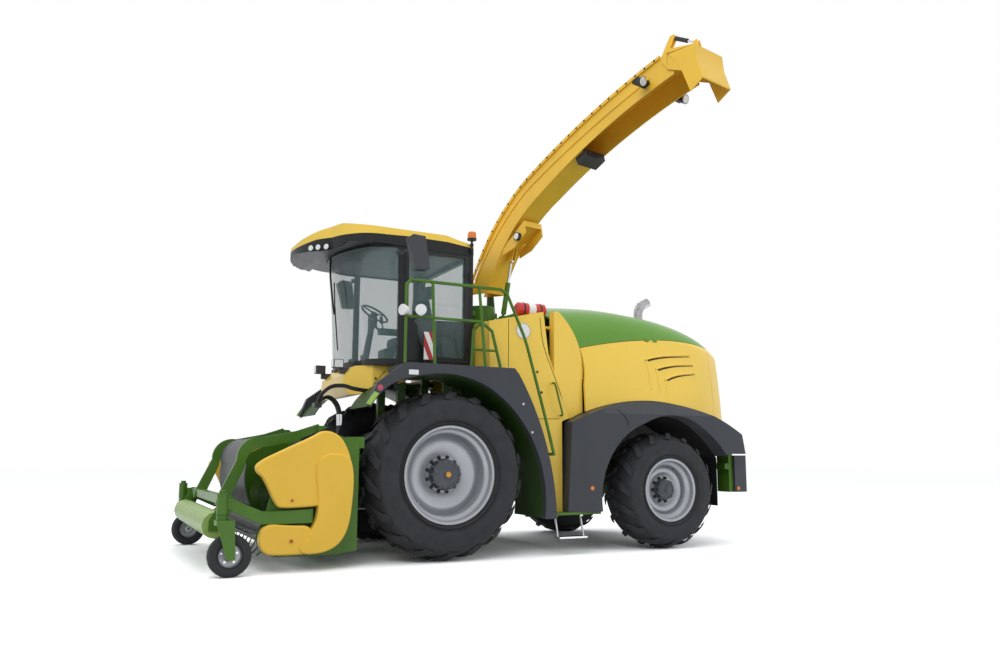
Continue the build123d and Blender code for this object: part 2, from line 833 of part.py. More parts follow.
def roof_plan():
    """Roof outline in plan with its pointed bow of a front."""
    return outline(
        (-560, -900),
        [
            (640, -960),
            (980, -905, 1200, -640),
            (1530, 0, 1200, 640),
            (980, 905, 640, 960),
            (-560, 900),
            (-600, 0, -560, -900),
        ],
    )


def roof_parts():
    """Black visor band all round, yellow cap above."""
    prism = flat_plate(roof_plan(), 3450, 4150)
    border = [(-200, 3815), (300, 3820), (900, 3792), (1350, 3755), (1560, 3692)]
    band = side_plate(
        outline(
            (-700, CAB_TOP_Z + SEAT),
            [(-700, 3765)] + border + [
                (1560, 3655),
                (1480, 3622),
                (1280, 3605),
                (1110, 3640),
                (CAB_FRONT_TOP_X + 15, CAB_TOP_Z + SEAT),
            ],
        ),
        -1100,
        1100,
    )
    lid = [(x, z + SEAT) for x, z in border]
    cap = side_plate(
        outline(
            (-700, 3765 + SEAT),
            lid
            + [(1560, 3722), (1480, 3788), (1330, 3860, 900, 3935), (300, 3965, -300, 3868), (-700, 3790)],
        ),
        -1100,
        1100,
    )
    camber = front_plate(
        outline((-1000, 3885), [(0, 3975, 1000, 3885), (1000, 3000), (-1000, 3000)]), -1000, 2000
    )
    return (cap & prism) & camber, band & prism


def cab_chin():
    """Yellow nose below the windscreen with its two head lamp recesses."""
    profile = outline(
        (250, CAB_FLOOR_Z - SEAT),
        [
            (860, CAB_FLOOR_Z - SEAT),
            (960, 2120),
            (975, 2010),
            (900, 1890),
            (760, 1900),
            (300, 2050),
            (250, 2090),
        ],
    )
    nose = side_plate(profile, -800, 800)
    plan = flat_plate(
        outline((200, -800), [(700, -800), (1030, -420), (1000, 0, 1030, 420), (700, 800), (200, 800)]),
        1800,
        2300,
    )
    nose = nose & plan
    for y in (-640, 640):
        nose = nose - rod((880, y, 2060), (1200, y, 2060), 55)
    return nose


def cab_interior():
    """Floor column, seat, steering column, wheel, armrest and monitor."""
    z = CAB_FLOOR_Z + 60 + SEAT
    base = box(-250, 100, -200, 200, z, z + 260)
    cushion = box(-260, 210, -250, 250, z + 260, z + 390)
    back = side_plate(
        outline((-280, z + 330), [(-160, z + 330), (-250, z + 950), (-360, z + 950)]), -240, 240
    )
    head = side_plate(
        outline((-345, z + 955), [(-260, z + 955), (-280, z + 1120), (-350, z + 1120)]), -140, 140
    )
    neck = box(-335, -275, -40, 40, z + 900, z + 1000)
    rest = box(-150, 260, -390, -270, z + 480, z + 560)
    post = box(-120, -40, -350, -240, z + 300, z + 480)
    column = rod((558, 0, z + 10), (450, 0, z + 640), 45)
    column = column + box(490, 630, -60, 60, z, z + 30)
    wheel_plane = Plane(origin=(440, 0, z + 690), z_dir=(-0.5, 0, 0.87))
    ring = extrude(wheel_plane * (Circle(200) - Circle(172)), amount=26)
    spokes = extrude(wheel_plane * Rectangle(40, 360), amount=18)
    hub = extrude(wheel_plane * Circle(50), amount=-60)
    monitor = box(300, 345, -560, -290, z + 560, z + 760)
    stalk = rod((240, -330, z + 520), (320, -420, z + 640), 16)
    seat = joined([base, cushion, back, neck, head, post, rest, stalk, monitor])
    steer = joined([column, hub, spokes, ring])
    return Compound([seat, steer])


# Rails, steps, lamps and mirrors

def platform_rails():
    """Tubular rails round the left walking deck, the ladder hoop and the long handrail."""
    y = FENDER_Y - 60
    r = RAIL_TUBE_R
    top = 3150
    mid = 2730
    sole = DECK_Z - 10
    handrail = pipe(
        [(570, y, DECK_Z + SEAT), (570, y, top), (-690, y, top - 10), (-960, y + 10, 2540),
         (-1200, y + 25, 1690), (-1335, y + 30, 1180)],
        r,
        60,
    )
    foot = bar((-1331, y + 30, 1195), (-1331, BODY_Y + SEAT, 1195), r)
    posts = [
        bar((570, y, mid), (-400, y, mid), r - 2),
        bar((210, y, sole), (250, y, top), r),
        bar((-430, y, sole), (-340, y, top - 5), r),
    ]
    hoop_y = y - 95
    hoop = pipe(
        [(-290, hoop_y, sole), (-320, hoop_y, 2710), (-540, hoop_y, 2710), (-680, hoop_y, sole)],
        r,
        70,
    )
    rung = bar((-305, hoop_y, 2410), (-612, hoop_y, 2410), r - 4)
    tie = bar((-400, hoop_y, 2710), (-400, y, mid), r - 6)
    below_deck = box(-750, 500, hoop_y - 60, y + 60, sole - 50, DECK_Z + SEAT)
    return joined([handrail, foot] + posts + [hoop, rung, tie]) - below_deck


def lamp(centre, axis, radius, depth):
    """A round lamp whose glass faces along the axis."""
    plane = Plane(origin=centre, z_dir=axis)
    body = extrude(plane * Circle(radius), amount=-depth, taper=12)
    return body


def lamps():
    """Work lamps on the rail and the beacon at the roof's rear corner."""
    y = FENDER_Y - 60
    corner = lamp((625, y + 34, 2790), (0.9, 0.4, 0), 62, 60)
    second = lamp((420, y + 77, 2800), (0.5, 0.85, 0), 62, 66)
    second = second + box(385, 415, y - 10, y + 40, 2735, 2770)
    rails = bar((570, y, 2600), (570, y, 3000), RAIL_TUBE_R + 1.1 * SEAT)
    rails = rails + bar((570, y, 2730), (0, y, 2730), RAIL_TUBE_R - 2 + 1.1 * SEAT)
    stem = rod((-520, 930, 3712), (-520, 930, 3880), 14)
    foot = box(-534, -506, 903, 944, 3700, 3724)
    dome = rod((-520, 930, 3875), (-520, 930, 3985), 55)
    return Compound([corner - rails, second - rails]), joined([stem, foot, dome])


def mirrors():
    """Left and right mirror heads on their arms."""
    arm = bar((455, CAB_Y, 3600), (415, 1445, 3560), 16)
    plate = box(395, 480, CAB_Y - 5, CAB_Y + 20, 3570, 3630)
    head = side_plate(
        outline((310, 3290), [(270, 3310), (330, 3690), (480, 3700), (545, 3650), (450, 3290)]),
        1405,
        1495,
    )
    return both(joined([arm, plate, head]) - cab_solid(-SEAT, CAB_FLOOR_Z, CAB_TOP_Z))


def exhaust():
    elbow = pipe([(-3480, 380, 2950), (-3480, 380, 3330), (-3660, 400, 3440)], 66, 70)
    return elbow - hood_solid(-SEAT)


def extinguisher():
    """Red cylinder on the deck beside the turret, on two feet."""
    low = rod((-1540, 1000, 3035), (-1110, 1000, 3035), 85)
    feet = box(-1470, -1430, 960, 1040, 2805 + SEAT, 2970) + box(-1230, -1190, 960, 1040, 2805 + SEAT, 2970)
    return low + feet


# Spout: drawn in the plane y = 0 with s measured backwards from the turret's axis

def spout_place(shape):
    """Swing a piece drawn straight back to where the spout rests."""
    about = Pos(TURRET_X, 0, 0) * Rot(0, 0, -SPOUT_SWING) * Pos(-TURRET_X, 0, 0)
    return about * shape


def spout_plate(start, steps, half0, half1):
    """Extrude an outline of (s, z) between two distances from the spout's centre plane."""
    turned = [
        tuple(TURRET_X - value if k % 2 == 0 else value for k, value in enumerate(step))
        for step in steps
    ]
    first = (TURRET_X - start[0], start[1])
    return side_plate(outline(first, turned), half0, half1)


def spout_wedge(inset):
    """Plan of the trough, which widens towards its tip."""
    root = SPOUT_ROOT_HALF - inset
    tip = SPOUT_TIP_HALF - inset
    x0 = TURRET_X + 200
    x1 = TURRET_X - 3800
    return flat_plate(outline((x0, -root), [(x1, -tip), (x1, tip), (x0, root)]), 3000, 6000)


def srod(s0, y0, z0, s1, y1, z1, radius):
    return rod((TURRET_X - s0, y0, z0), (TURRET_X - s1, y1, z1), radius)


def sbox(s0, s1, y0, y1, z0, z1):
    return box(TURRET_X - s1, TURRET_X - s0, y0, y1, z0, z1)


def turret():
    """Slewing ring, round neck and the two ears that carry the spout's hinge."""
    foot_ring = rod((TURRET_X, 0, CHOPPER_TOP_Z + SEAT), (TURRET_X, 0, 2811), TURRET_R - 60)
    ring = rod((TURRET_X, 0, 2805 + GAP), (TURRET_X, 0, 2880), TURRET_R + 60)
    neck = rod((TURRET_X, 0, 2880), (TURRET_X, 0, TURRET_TOP), 190)
    bore = rod((TURRET_X, 0, 2700), (TURRET_X, 0, TURRET_TOP + 20), 165)
    ear = spout_plate((-130, 3060), [(60, 3060), (0, 3470), (-120, 3470)], 195, 215)
    web = sbox(-110, 90, 120, 215, 3060, 3130)
    lugs = [
        spout_plate((330, 2860), [(500, 2900), (515, 3015), (440, 3022), (290, 2880)], y, y + 12)
        for y in (20, -32)
    ]
    foot = sbox(200, 420, -32, 32, 2830, 2880)
    pin = srod(480, -30, 3000, 480, 30, 3000, LIFT_SMALL_PIN_R)
    parts = [foot_ring, ring, neck, ear, mirrored(ear), web, mirrored(web), foot, pin]
    body = joined(parts + lugs) - bore
    hinge = srod(SPOUT_PIVOT_S, 160, SPOUT_PIVOT_Z, SPOUT_PIVOT_S, 230, SPOUT_PIVOT_Z, 22)
    body = body - hinge - mirrored(hinge)
    return spout_place(body)


def trough_face(inset):
    """Side view of the trough: back curve out to the tip, then the belly curve home."""
    i = inset
    start = (-30 + i, 3370)
    steps = [
        (370 + i * 0.6, 4050 - i * 0.8, 1130 + i * 0.5, 4665 - i),
        (2300, 5140 - i, 3560, 5500 - i),
        (3640, 5220 + i),
        (2300, 4835 + i, 1420 - i * 0.6, 4440 + i),
        (650 - i * 0.8, 3860 + i * 0.6, 330 - i, 3340),
    ]
    return start, steps


def spout_trough():
    """Closed box of the spout that opens underneath towards the tip."""
    start, steps = trough_face(0)
    shell = spout_plate(start, steps, -300, 300) & spout_wedge(0)
    start, steps = trough_face(SPOUT_WALL)
    inner = spout_plate(start, steps, -300, 300)
    inner = inner + sbox(-50, 330, -300, 300, 3300, 3420)
    mouth = spout_plate(
        (2180, 4700), [(3700, 5160), (3700, 5600), (3480, 5440), (3480, 5290), (2180, 4880)], -300, 300
    )
    shell = shell - ((inner + mouth) & spout_wedge(SPOUT_WALL))
    lip = spout_plate(
        (-45, 3500),
        [(355, 4080, 1120, 4685), (2295, 5165, 3450, 5490), (3450, 5455), (2300, 5125, 1130, 4650),
         (385, 4050, -15, 3490)],
        -300,
        300,
    )
    rib = spout_plate(
        (60, 3560),
        [(420, 4010, 1200, 4590), (2300, 5010, 3300, 5300), (3300, 5275), (2300, 4985, 1205, 4565),
         (440, 3990, 85, 3550)],
        -300,
        300,
    )
    trim = (lip & spout_wedge(-20)) + (rib & spout_wedge(-11)) - spout_wedge(2)
    ear = spout_plate((-115, 3385), [(60, 3375), (60, 3520), (-60, 3480)], 130, 182)
    pin = srod(SPOUT_PIVOT_S, 140, SPOUT_PIVOT_Z, SPOUT_PIVOT_S, 225, SPOUT_PIVOT_Z, 21.7)
    side = ear + pin
    bracket = spout_plate((660, 3800), [(900, 3860), (1120, 4010), (1090, 4180), (660, 3880)], -150, 150)
    bracket = bracket - spout_plate((600, 3700), [(1200, 3960), (1080, 4140), (600, 3860)], -138, 138)
    lugs = [
        spout_plate((615, 3700), [(700, 3740), (760, 3920), (640, 3860)], y, y + 12) for y in (20, -32)
    ]
    lift_pin = srod(LIFT_TIP[0], -30, LIFT_TIP[1], LIFT_TIP[0], 30, LIFT_TIP[1], LIFT_SMALL_PIN_R)
    stays = [
        spout_plate((3150, 5350), [(3250, 5380), (3500, 5750), (3500, 5790), (3440, 5790)], y, y + 12)
        for y in (15, -27)
    ]
    stay_pin = srod(FLAP_FOOT[0], -25, FLAP_FOOT[1], FLAP_FOOT[0], 25, FLAP_FOOT[1], FLAP_PIN_R)
    flap_pin = srod(FLAP_S, SPOUT_TIP_HALF - 14, FLAP_Z, FLAP_S, SPOUT_TIP_HALF + 20, FLAP_Z, 12)
    parts = [shell, trim, side, mirrored(side), bracket, lift_pin, stay_pin, flap_pin, mirrored(flap_pin)]
    parts = parts + lugs + stays
    return spout_place(joined(parts))


def spout_lamps():
    """Work lamps at the tip and the foot of the spout and the sensor box under its middle."""
    sensor = spout_plate((2060, 4740), [(2230, 4812), (2255, 4722), (2095, 4650)], -155, 155)
    start, steps = trough_face(-SEAT)
    trough = spout_plate(start, steps, -300, 300) & spout_wedge(-SEAT)
    arm = spout_plate((3210, 5200), [(3300, 5225), (3290, 5262), (3200, 5237)], 190, 400)
    tip_lamp = lamp((TURRET_X - 3330, 360, 5200), (-0.9, 0, -0.3), 55, 70)
    tip_lamp = (arm - trough) + tip_lamp
    foot_lamp = srod(985, 150 + SEAT, 3985, 985, 190, 3985, 52)
    return spout_place(Compound([sensor - trough, tip_lamp, mirrored(tip_lamp), foot_lamp]))


def flaps():
    """Deflector at the spout's tip: two cheeks, the plate between them and the actuator's lugs."""
    outer = SPOUT_TIP_HALF + GAP + 10
    inner = outer - 10
    shape = [(3930, 5440), (3950, 5260), (4025, 5035), (3858, 4935), (3752, 5205), (3560, 5290),
             (3490, 5400), (3530, 5500)]
    hollow = [(3922, 5430), (3940, 5260), (4013, 5025), (3858, 4900), (3600, 4900), (3400, 5200),
              (3400, 5540), (3586, 5540)]
    body = spout_plate((3590, 5514), shape, -outer, outer)
    body = body - spout_plate((3586, 5504), hollow, -inner, inner)
    lugs = [
        spout_plate((3730, 5460), [(3850, 5440), (3805, 5610), (3755, 5610)], y, y + 12)
        for y in (15, -27)
    ]
    pin = srod(FLAP_TIP[0], -25, FLAP_TIP[1], FLAP_TIP[0], 25, FLAP_TIP[1], FLAP_PIN_R)
    bore = srod(FLAP_S, -300, FLAP_Z, FLAP_S, 300, FLAP_Z, 12.3)
    return spout_place(joined([body, pin] + lugs) - bore)


# Cylinders: each is a barrel with an eye at its foot and a rod with an eye at its tip

def cylinder_pair(foot, tip, barrel_r, rod_r, barrel_share, rod_share, play, plane_side):
    """Barrel and rod between two pins; plane_side is the pins' common direction."""
    a = Vector(*foot)
    b = Vector(*tip)
    way = (b - a).normalized()
    length = (b - a).length
    eye = rod_r * EYE_SHARE
    cut = barrel_share * length
    pin_dir = Vector(*plane_side).normalized()

    def at(distance):
        return a + way * distance

    def eye_at(point, hole):
        plane = Plane(origin=point - pin_dir * eye * 0.5, z_dir=pin_dir)
        return extrude(plane * (Circle(eye) - Circle(hole)), amount=eye)

    neck = rod(at(eye * 0.8), at(eye * 1.4), eye * 0.45)
    barrel = joined([eye_at(a, eye * EYE_HOLE), neck, rod(at(eye * 1.25), at(cut), barrel_r)])
    barrel = barrel - rod(at(eye * 1.6), at(cut + 5), rod_r + 0.5)
    stem = rod(at(rod_share * length), at(length - eye * 0.8), rod_r) + eye_at(b, eye * EYE_HOLE + play)
    return barrel, stem


def spout_cylinder(foot, tip, barrel_r, rod_r, barrel_share, rod_share, play):
    """A cylinder in the spout's centre plane between two (s, z) pins."""
    barrel, stem = cylinder_pair(
        (TURRET_X - foot[0], 0, foot[1]), (TURRET_X - tip[0], 0, tip[1]), barrel_r, rod_r,
        barrel_share, rod_share, play, (0, 1, 0))
    return spout_place(barrel), spout_place(stem)


# Header: the feeder house and the pickup are one body that lifts about the feeder's pivot

def feed_throat():
    """The slanted passage that the crop takes through the wall and the feeder house."""
    return side_plate(outline((180, 760), [(180, 1180), (1250, 1000), (1250, 480)]), -290, 290)


def feeder_house():
    """Hollow house behind the wall with its trunnions and the pins of the two lift cylinders."""
    front = HEADER_WALL_X - SEAT
    house = side_plate(
        outline((215, 640), [(215, 1290), (255, 1360), (330, 1360), (front, 1130), (front, 420)]),
        -RAIL_Y0 + 15,
        RAIL_Y0 - 15,
    )
    x, z = HEADER_LIFT_TIP
    lift_pin = rod((x, RAIL_Y0 - 30, z), (x, HEADER_LIFT_Y + 32, z), LIFT_PIN_R)
    collar = rod((x, RAIL_Y0 - 30, z), (x, HEADER_LIFT_Y - 32, z), 50)
    trunnion = rod(
        (FEEDER_PIVOT_X, 300, FEEDER_PIVOT_Z), (FEEDER_PIVOT_X, RAIL_Y1, FEEDER_PIVOT_Z), TRUNNION_R
    )
    outboard = joined([lift_pin + collar, trunnion])
    return joined([house - feed_throat(), outboard, mirrored(outboard)])


def header_body():
    """Rear wall with its feed opening, floor, end walls, top tube and box arms."""
    wall = box(HEADER_WALL_X, 1100, -HEADER_Y, HEADER_Y, 200, 1330)
    tube = box(1000, 1180, -HEADER_Y, HEADER_Y, 1250, 1370)
    floor = side_plate(
        outline((1060, 200), [(1200, 290, 1420, 300), (1560, 330, 1640, 400), (1640, 385),
                              (1560, 300, 1420, 280), (1200, 270, 1060, 180)]),
        -HEADER_Y,
        HEADER_Y,
    )
    side = joined([header_end(), header_hinge(), header_socket()])
    return joined([wall - feed_throat(), tube, floor, side, mirrored(side)])


def header_end():
    """Left end wall with the box arm that reaches forward to the caster."""
    end = side_plate(
        outline((1060, 180), [(1060, 1340), (1300, 1370), (1900, 1080), (2030, 560), (2120, 340),
                              (2050, 200), (1900, 150), (1300, 150)]),
        HEADER_Y,
        HEADER_Y + 15,
    )
    arm = side_plate(
        outline((1570, 490), [(1570, 630), (2060, 610), (2360, 740), (2400, 740), (2400, 640), (2080, 490)]),
        HEADER_Y + 15,
        HEADER_Y + 140,
    )
    reel_pin = rod((REEL_X, HEADER_Y - 70, REEL_Z), (REEL_X, HEADER_Y, REEL_Z), 25)
    auger_pin = rod((AUGER_X, HEADER_Y - 70, AUGER_Z), (AUGER_X, HEADER_Y, AUGER_Z), 30)
    return joined([end, arm, reel_pin, auger_pin])


def header_socket():
    """Bored socket for the left caster's spindle."""
    socket = rod((CASTER_X, CASTER_Y, 600), (CASTER_X, CASTER_Y, 800), 52)
    bridge = box(2380, CASTER_X - 40, HEADER_Y + 15, CASTER_Y, 650, 740)
    bore = rod((CASTER_X, CASTER_Y, 580), (CASTER_X, CASTER_Y, 820), 32)
    return socket + bridge - bore


def header_hinge():
    """Two ears on the top tube for the left crop press arm."""
    face = outline((1040, 1370), [(1300, 1370), (1370, 1420), (1370, 1500), (1290, 1500), (1180, 1420)])
    inner = side_plate(face, PRESS_ARM_Y - 60, PRESS_ARM_Y - 35)
    outer = side_plate(face, PRESS_ARM_Y + 35, PRESS_ARM_Y + 60)
    bore = rod(
        (PRESS_PIVOT_X, PRESS_ARM_Y - 70, PRESS_PIVOT_Z), (PRESS_PIVOT_X, PRESS_ARM_Y + 70, PRESS_PIVOT_Z), 18
    )
    return Compound([inner - bore, outer - bore])


def side_shields():
    """Yellow two-part guard on each end of the header, held off the wall by three pegs."""
    y0 = SHIELD_Y0 + 28
    upper = side_plate(
        outline(
            (1160, 1020),
            [
                (1230, 1330, 1430, 1425),
                (1560, 1420, 1710, 1375),
                (2060, 1150),
                (2145, 1090, 2130, 1040),
                (2080, 960),
                (1930, 680),
                (1900, 645, 1840, 640),
                (1200, 640),
            ],
        ),
        y0,
        SHIELD_Y1 - 20,
    )
    lower = side_plate(
        outline(
            (1150, 700),
            [
                (1170, 420, 1440, 205),
                (1990, 195),
                (2130, 330, 1990, 470),
                (1640, 472),
                (1560, 484),
                (1540, 640),
                (1555, 1000),
                (1500, 1180, 1330, 1190),
                (1180, 1170, 1150, 700),
            ],
        ),
        y0,
        SHIELD_Y1,
    )
    cavity = side_plate(
        outline((1190, 700), [(1210, 1000), (1330, 1300), (1700, 1330), (2060, 1090), (1920, 670),
                              (1500, 660), (1500, 440), (1950, 430), (1950, 240), (1460, 240),
                              (1220, 430)]),
        y0 - 5,
        SHIELD_Y1 - 40,
    )
    guard = (upper + lower) - cavity
    for x, z in ((1360, 900), (1600, 330), (1650, 1130)):
        guard = guard + bar((x, HEADER_Y + 15 + SEAT, z), (x, SHIELD_Y1 - 38, z), 25)
    return both(guard)


def pickup_reel():
    """Tine drum: a ten-sided core with five rows of spring tines."""
    plane = Plane(origin=(REEL_X, HEADER_Y - 40, REEL_Z), z_dir=(0, -1, 0))
    drum = extrude(plane * RegularPolygon(120, 10), amount=2 * HEADER_Y - 80)
    bore = rod((REEL_X, HEADER_Y - 80, REEL_Z), (REEL_X, HEADER_Y, REEL_Z), 25.3)
    drum = drum - bore - mirrored(bore)
    tines = []
    for row in range(5):
        angle = 72 * row + 20
        shift = 26 * row
        for k in range(12):
            y = -1400 + shift + 232 * k
            tine = Pos(0, y, 0) * box(-9, 9, -5, 5, 90, REEL_R)
            tines.append(Pos(REEL_X, 0, REEL_Z) * Rot(0, angle, 0) * tine)
    return drum + tines


def feed_auger():
    """Cross auger with its flighting as slanted discs on a tube."""
    plane = Plane(origin=(AUGER_X, HEADER_Y - 40, AUGER_Z), z_dir=(0, -1, 0))
    tube = extrude(plane * RegularPolygon(130, 16), amount=2 * HEADER_Y - 80)
    bore = rod((AUGER_X, HEADER_Y - 80, AUGER_Z), (AUGER_X, HEADER_Y, AUGER_Z), 30.3)
    tube = tube - bore - mirrored(bore)
    discs = []
    for k in range(5):
        for sign in (1, -1):
            spot = Plane(origin=(AUGER_X, sign * (260 + 250 * k) - 6, AUGER_Z), z_dir=(0, 1, 0))
            discs.append(extrude(spot * RegularPolygon(AUGER_R, 16), amount=12))
    return tube + discs


def crop_press_arms():
    """Two curved arms from the header's top to the cross beam that carries the press roller."""
    arm = side_plate(
        outline(
            (1290, 1430),
            [
                (1360, 1520),
                (1600, 1440),
                (1950, 1370),
                (2130, 1330, 2230, 1120),
                (2400, 760),
                (2430, 650),
                (2320, 630),
                (2140, 1050),
                (2060, 1220, 1930, 1260),
                (1600, 1330),
                (1400, 1400),
                (1340, 1400),
            ],
        ),
        PRESS_ARM_Y - 25,
        PRESS_ARM_Y + 25,
    )
    pin = rod((PRESS_PIVOT_X, PRESS_ARM_Y - 60, PRESS_PIVOT_Z), (PRESS_PIVOT_X, PRESS_ARM_Y + 60,
                                                               PRESS_PIVOT_Z), 17.7)
    beam = box(2310, 2400, -1330, 1330, 660, 750)
    hanger = side_plate(
        outline((2300, 750), [(2400, 760), (2540, 520), (2540, 420), (2400, 420), (2330, 600)]),
        ROLLER_HALF + GAP,
        ROLLER_HALF + GAP + 14,
    )
    stub = rod((ROLLER_X, ROLLER_HALF - 30, ROLLER_Z), (ROLLER_X, ROLLER_HALF + GAP + 1, ROLLER_Z), 22)
    side = joined([arm, pin, hanger, stub])
    return joined([beam, side, mirrored(side), guard_tube(GUARD_TUBE_R)])


def guard_tube(radius):
    """Cross tube between the press arms that the windguard hangs over."""
    return rod((GUARD_TUBE_X, -PRESS_ARM_Y, GUARD_TUBE_Z), (GUARD_TUBE_X, PRESS_ARM_Y, GUARD_TUBE_Z), radius)


def windguard():
    """Grey sheet that hangs over the intake between the arms."""
    sheet = side_plate(
        outline(
            (1560, 1375),
            [(1800, 1345), (2060, 1300, 2120, 1060), (2130, 850, 2060, 640), (2050, 643),
             (2118, 850, 2108, 1060), (2050, 1290, 1800, 1335), (1560, 1365)],
        ),
        -PRESS_ARM_Y + 30,
        PRESS_ARM_Y - 30,
    )
    return sheet - guard_tube(GUARD_TUBE_R + SEAT)


def press_roller():
    """Ribbed press roller at the front of the pickup."""
    plane = Plane(origin=(ROLLER_X, ROLLER_HALF, ROLLER_Z), z_dir=(0, -1, 0))
    drum = extrude(plane * RegularPolygon(ROLLER_R, 12), amount=2 * ROLLER_HALF)
    bore = rod((ROLLER_X, ROLLER_HALF - 60, ROLLER_Z), (ROLLER_X, ROLLER_HALF + 5, ROLLER_Z), 22.3)
    return drum - bore - mirrored(bore)


def gauge_fork():
    """Left caster fork: spindle, shoulder and the outboard plate with the stub axle."""
    spindle = rod((CASTER_X, CASTER_Y, 560), (CASTER_X, CASTER_Y, 830), 31.7)
    collar = rod((CASTER_X, CASTER_Y, 540), (CASTER_X, CASTER_Y, 594), 50)
    wheel_x = CASTER_X - CASTER_TRAIL
    top = box(CASTER_X - 110, CASTER_X + 60, CASTER_Y - 60, CASTER_Y + 118, 500, 545)
    plate = side_plate(
        outline((CASTER_X - 110, 545), [(CASTER_X + 60, 545), (CASTER_X + 20, 400), (wheel_x + 40, 170),
                                        (wheel_x - 40, 170)]),
        CASTER_Y + 100,
        CASTER_Y + 118,
    )
    stub = rod((wheel_x, CASTER_Y - 60, GAUGE_R), (wheel_x, CASTER_Y + 100, GAUGE_R), 13.5)
    return joined([spindle, collar, top, plate, stub])


def gauge_wheel():
    """Left gauge wheel: tyre on a small disc rim."""
    half = GAUGE_W / 2
    right = [(GAUGE_R, 0.6 * half), (GAUGE_R - 30, half), (120, half), (95, 0.3 * half), (50, 0.3 * half),
             (50, 0.8 * half), (14.3, 0.8 * half)]
    loop = right + [(r, -y) for r, y in reversed(right)]
    return Pos(CASTER_X - CASTER_TRAIL, CASTER_Y, GAUGE_R) * spun(loop, 20)


def all_nodes():
    nodes = {}

    def pair(name, left):
        nodes[name + "_left"] = left
        nodes[name + "_right"] = mirrored(left)

    nodes["main_frame"] = main_frame()
    nodes["axles"] = axles()
    nodes["engine_block"] = engine_block()
    nodes["chopper_unit"] = chopper_unit()
    pair("knuckle", knuckle())
    for name, (rubber, steel) in (("front", front_wheel()), ("rear", rear_wheel())):
        pair("tyre_" + name, rubber)
        pair("rim_" + name, steel)
    nodes["front_fenders"] = both(front_fender())
    nodes["rear_fenders"] = both(rear_fender())
    nodes["front_arches"] = both(front_liner())
    nodes["rear_arches"] = both(rear_liner())
    nodes["body_front"] = body_front()
    top, side, rear = hood_parts()
    nodes["hood_top"] = top
    pair("hood_door", side)
    nodes["hood_rear"] = rear
    nodes["cab_frame"], nodes["cab_glass"] = cab_parts()
    nodes["cab_door"], nodes["cab_door_glass"] = cab_door()
    nodes["roof_cap"], nodes["roof_visor"] = roof_parts()
    nodes["cab_nose"] = cab_chin()
    nodes["cab_interior"] = cab_interior()
    nodes["platform_rails"] = platform_rails()
    nodes["folding_step"] = folding_step()
    nodes["work_lamps"], nodes["beacon"] = lamps()
    nodes["mirrors"] = mirrors()
    nodes["exhaust_pipe"] = exhaust()
    nodes["extinguisher"] = extinguisher()
    nodes["turret"] = turret()
    nodes["spout_trough"] = spout_trough()
    nodes["spout_lamps"] = spout_lamps()
    nodes["spout_flap"] = flaps()
    barrel, stem = spout_cylinder(LIFT_FOOT, LIFT_TIP, 34, 18, 0.62, 0.31, LIFT_PLAY)
    nodes["spout_lift_barrel"], nodes["spout_lift_rod"] = barrel, stem
    barrel, stem = spout_cylinder(FLAP_FOOT, FLAP_TIP, 24, 12, 0.6, 0.28, FLAP_PLAY)
    nodes["flap_barrel"], nodes["flap_rod"] = barrel, stem
    nodes["feeder_house"] = feeder_house()
    nodes["header_frame"] = header_body()
    nodes["header_shields"] = side_shields()
    nodes["pickup_reel"] = pickup_reel()
    nodes["feed_auger"] = feed_auger()
    nodes["crop_press_arms"] = crop_press_arms()
    nodes["windguard"] = windguard()
    nodes["press_roller"] = press_roller()
    pair("gauge_fork", gauge_fork())
    pair("gauge_wheel", gauge_wheel())
    barrel, stem = cylinder_pair(
        (HEADER_LIFT_FOOT[0], HEADER_LIFT_Y, HEADER_LIFT_FOOT[1]),
        (HEADER_LIFT_TIP[0], HEADER_LIFT_Y, HEADER_LIFT_TIP[1]),
        50,
        28,
        0.6,
        0.25,
        HEADER_PLAY,
        (0, 1, 0),
    )
    nodes["header_lift_barrels"] = both(barrel)
    nodes["header_lift_rods"] = both(stem)
    return nodes


def main():
    os.makedirs("parts", exist_ok=True)
    for name, shape in all_nodes().items():
        if isinstance(shape, (list, ShapeList)):
            shape = Compound(list(shape))
        export_step(shape, "parts/" + name + ".step")


main()
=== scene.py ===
from math import asin, atan2, cos, hypot, pi, radians, sin, sqrt, tau
from types import SimpleNamespace

import bmesh
import bpy
from mathutils import Matrix, Vector
from mathutils.bvhtree import BVHTree


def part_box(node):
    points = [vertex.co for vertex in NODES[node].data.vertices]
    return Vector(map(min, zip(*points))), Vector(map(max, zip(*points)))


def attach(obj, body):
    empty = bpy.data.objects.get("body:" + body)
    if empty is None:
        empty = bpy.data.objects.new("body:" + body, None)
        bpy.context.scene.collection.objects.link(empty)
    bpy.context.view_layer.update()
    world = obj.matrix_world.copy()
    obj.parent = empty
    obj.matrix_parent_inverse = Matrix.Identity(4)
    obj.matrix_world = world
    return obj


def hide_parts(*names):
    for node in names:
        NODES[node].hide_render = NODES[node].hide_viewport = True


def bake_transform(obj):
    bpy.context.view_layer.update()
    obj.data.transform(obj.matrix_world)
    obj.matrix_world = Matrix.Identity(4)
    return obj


# Looks of a self-propelled forage harvester, in metres: x forwards, y to its left, z up

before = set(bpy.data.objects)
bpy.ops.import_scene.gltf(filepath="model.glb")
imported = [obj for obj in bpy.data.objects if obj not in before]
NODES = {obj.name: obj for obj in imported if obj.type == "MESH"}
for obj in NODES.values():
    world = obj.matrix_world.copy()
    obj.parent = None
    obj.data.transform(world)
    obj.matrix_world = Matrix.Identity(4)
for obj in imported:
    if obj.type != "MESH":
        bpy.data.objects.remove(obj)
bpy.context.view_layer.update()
SCENE = bpy.context.scene

# Camera, solved once from the photograph
CAM_PLACE = Vector((3.784, 10.244, 1.181))
CAM_YAW = radians(26.82)
CAM_PITCH = radians(8.33)
CAM_ROLL = radians(0.22)
CAM_LENS = 29.916

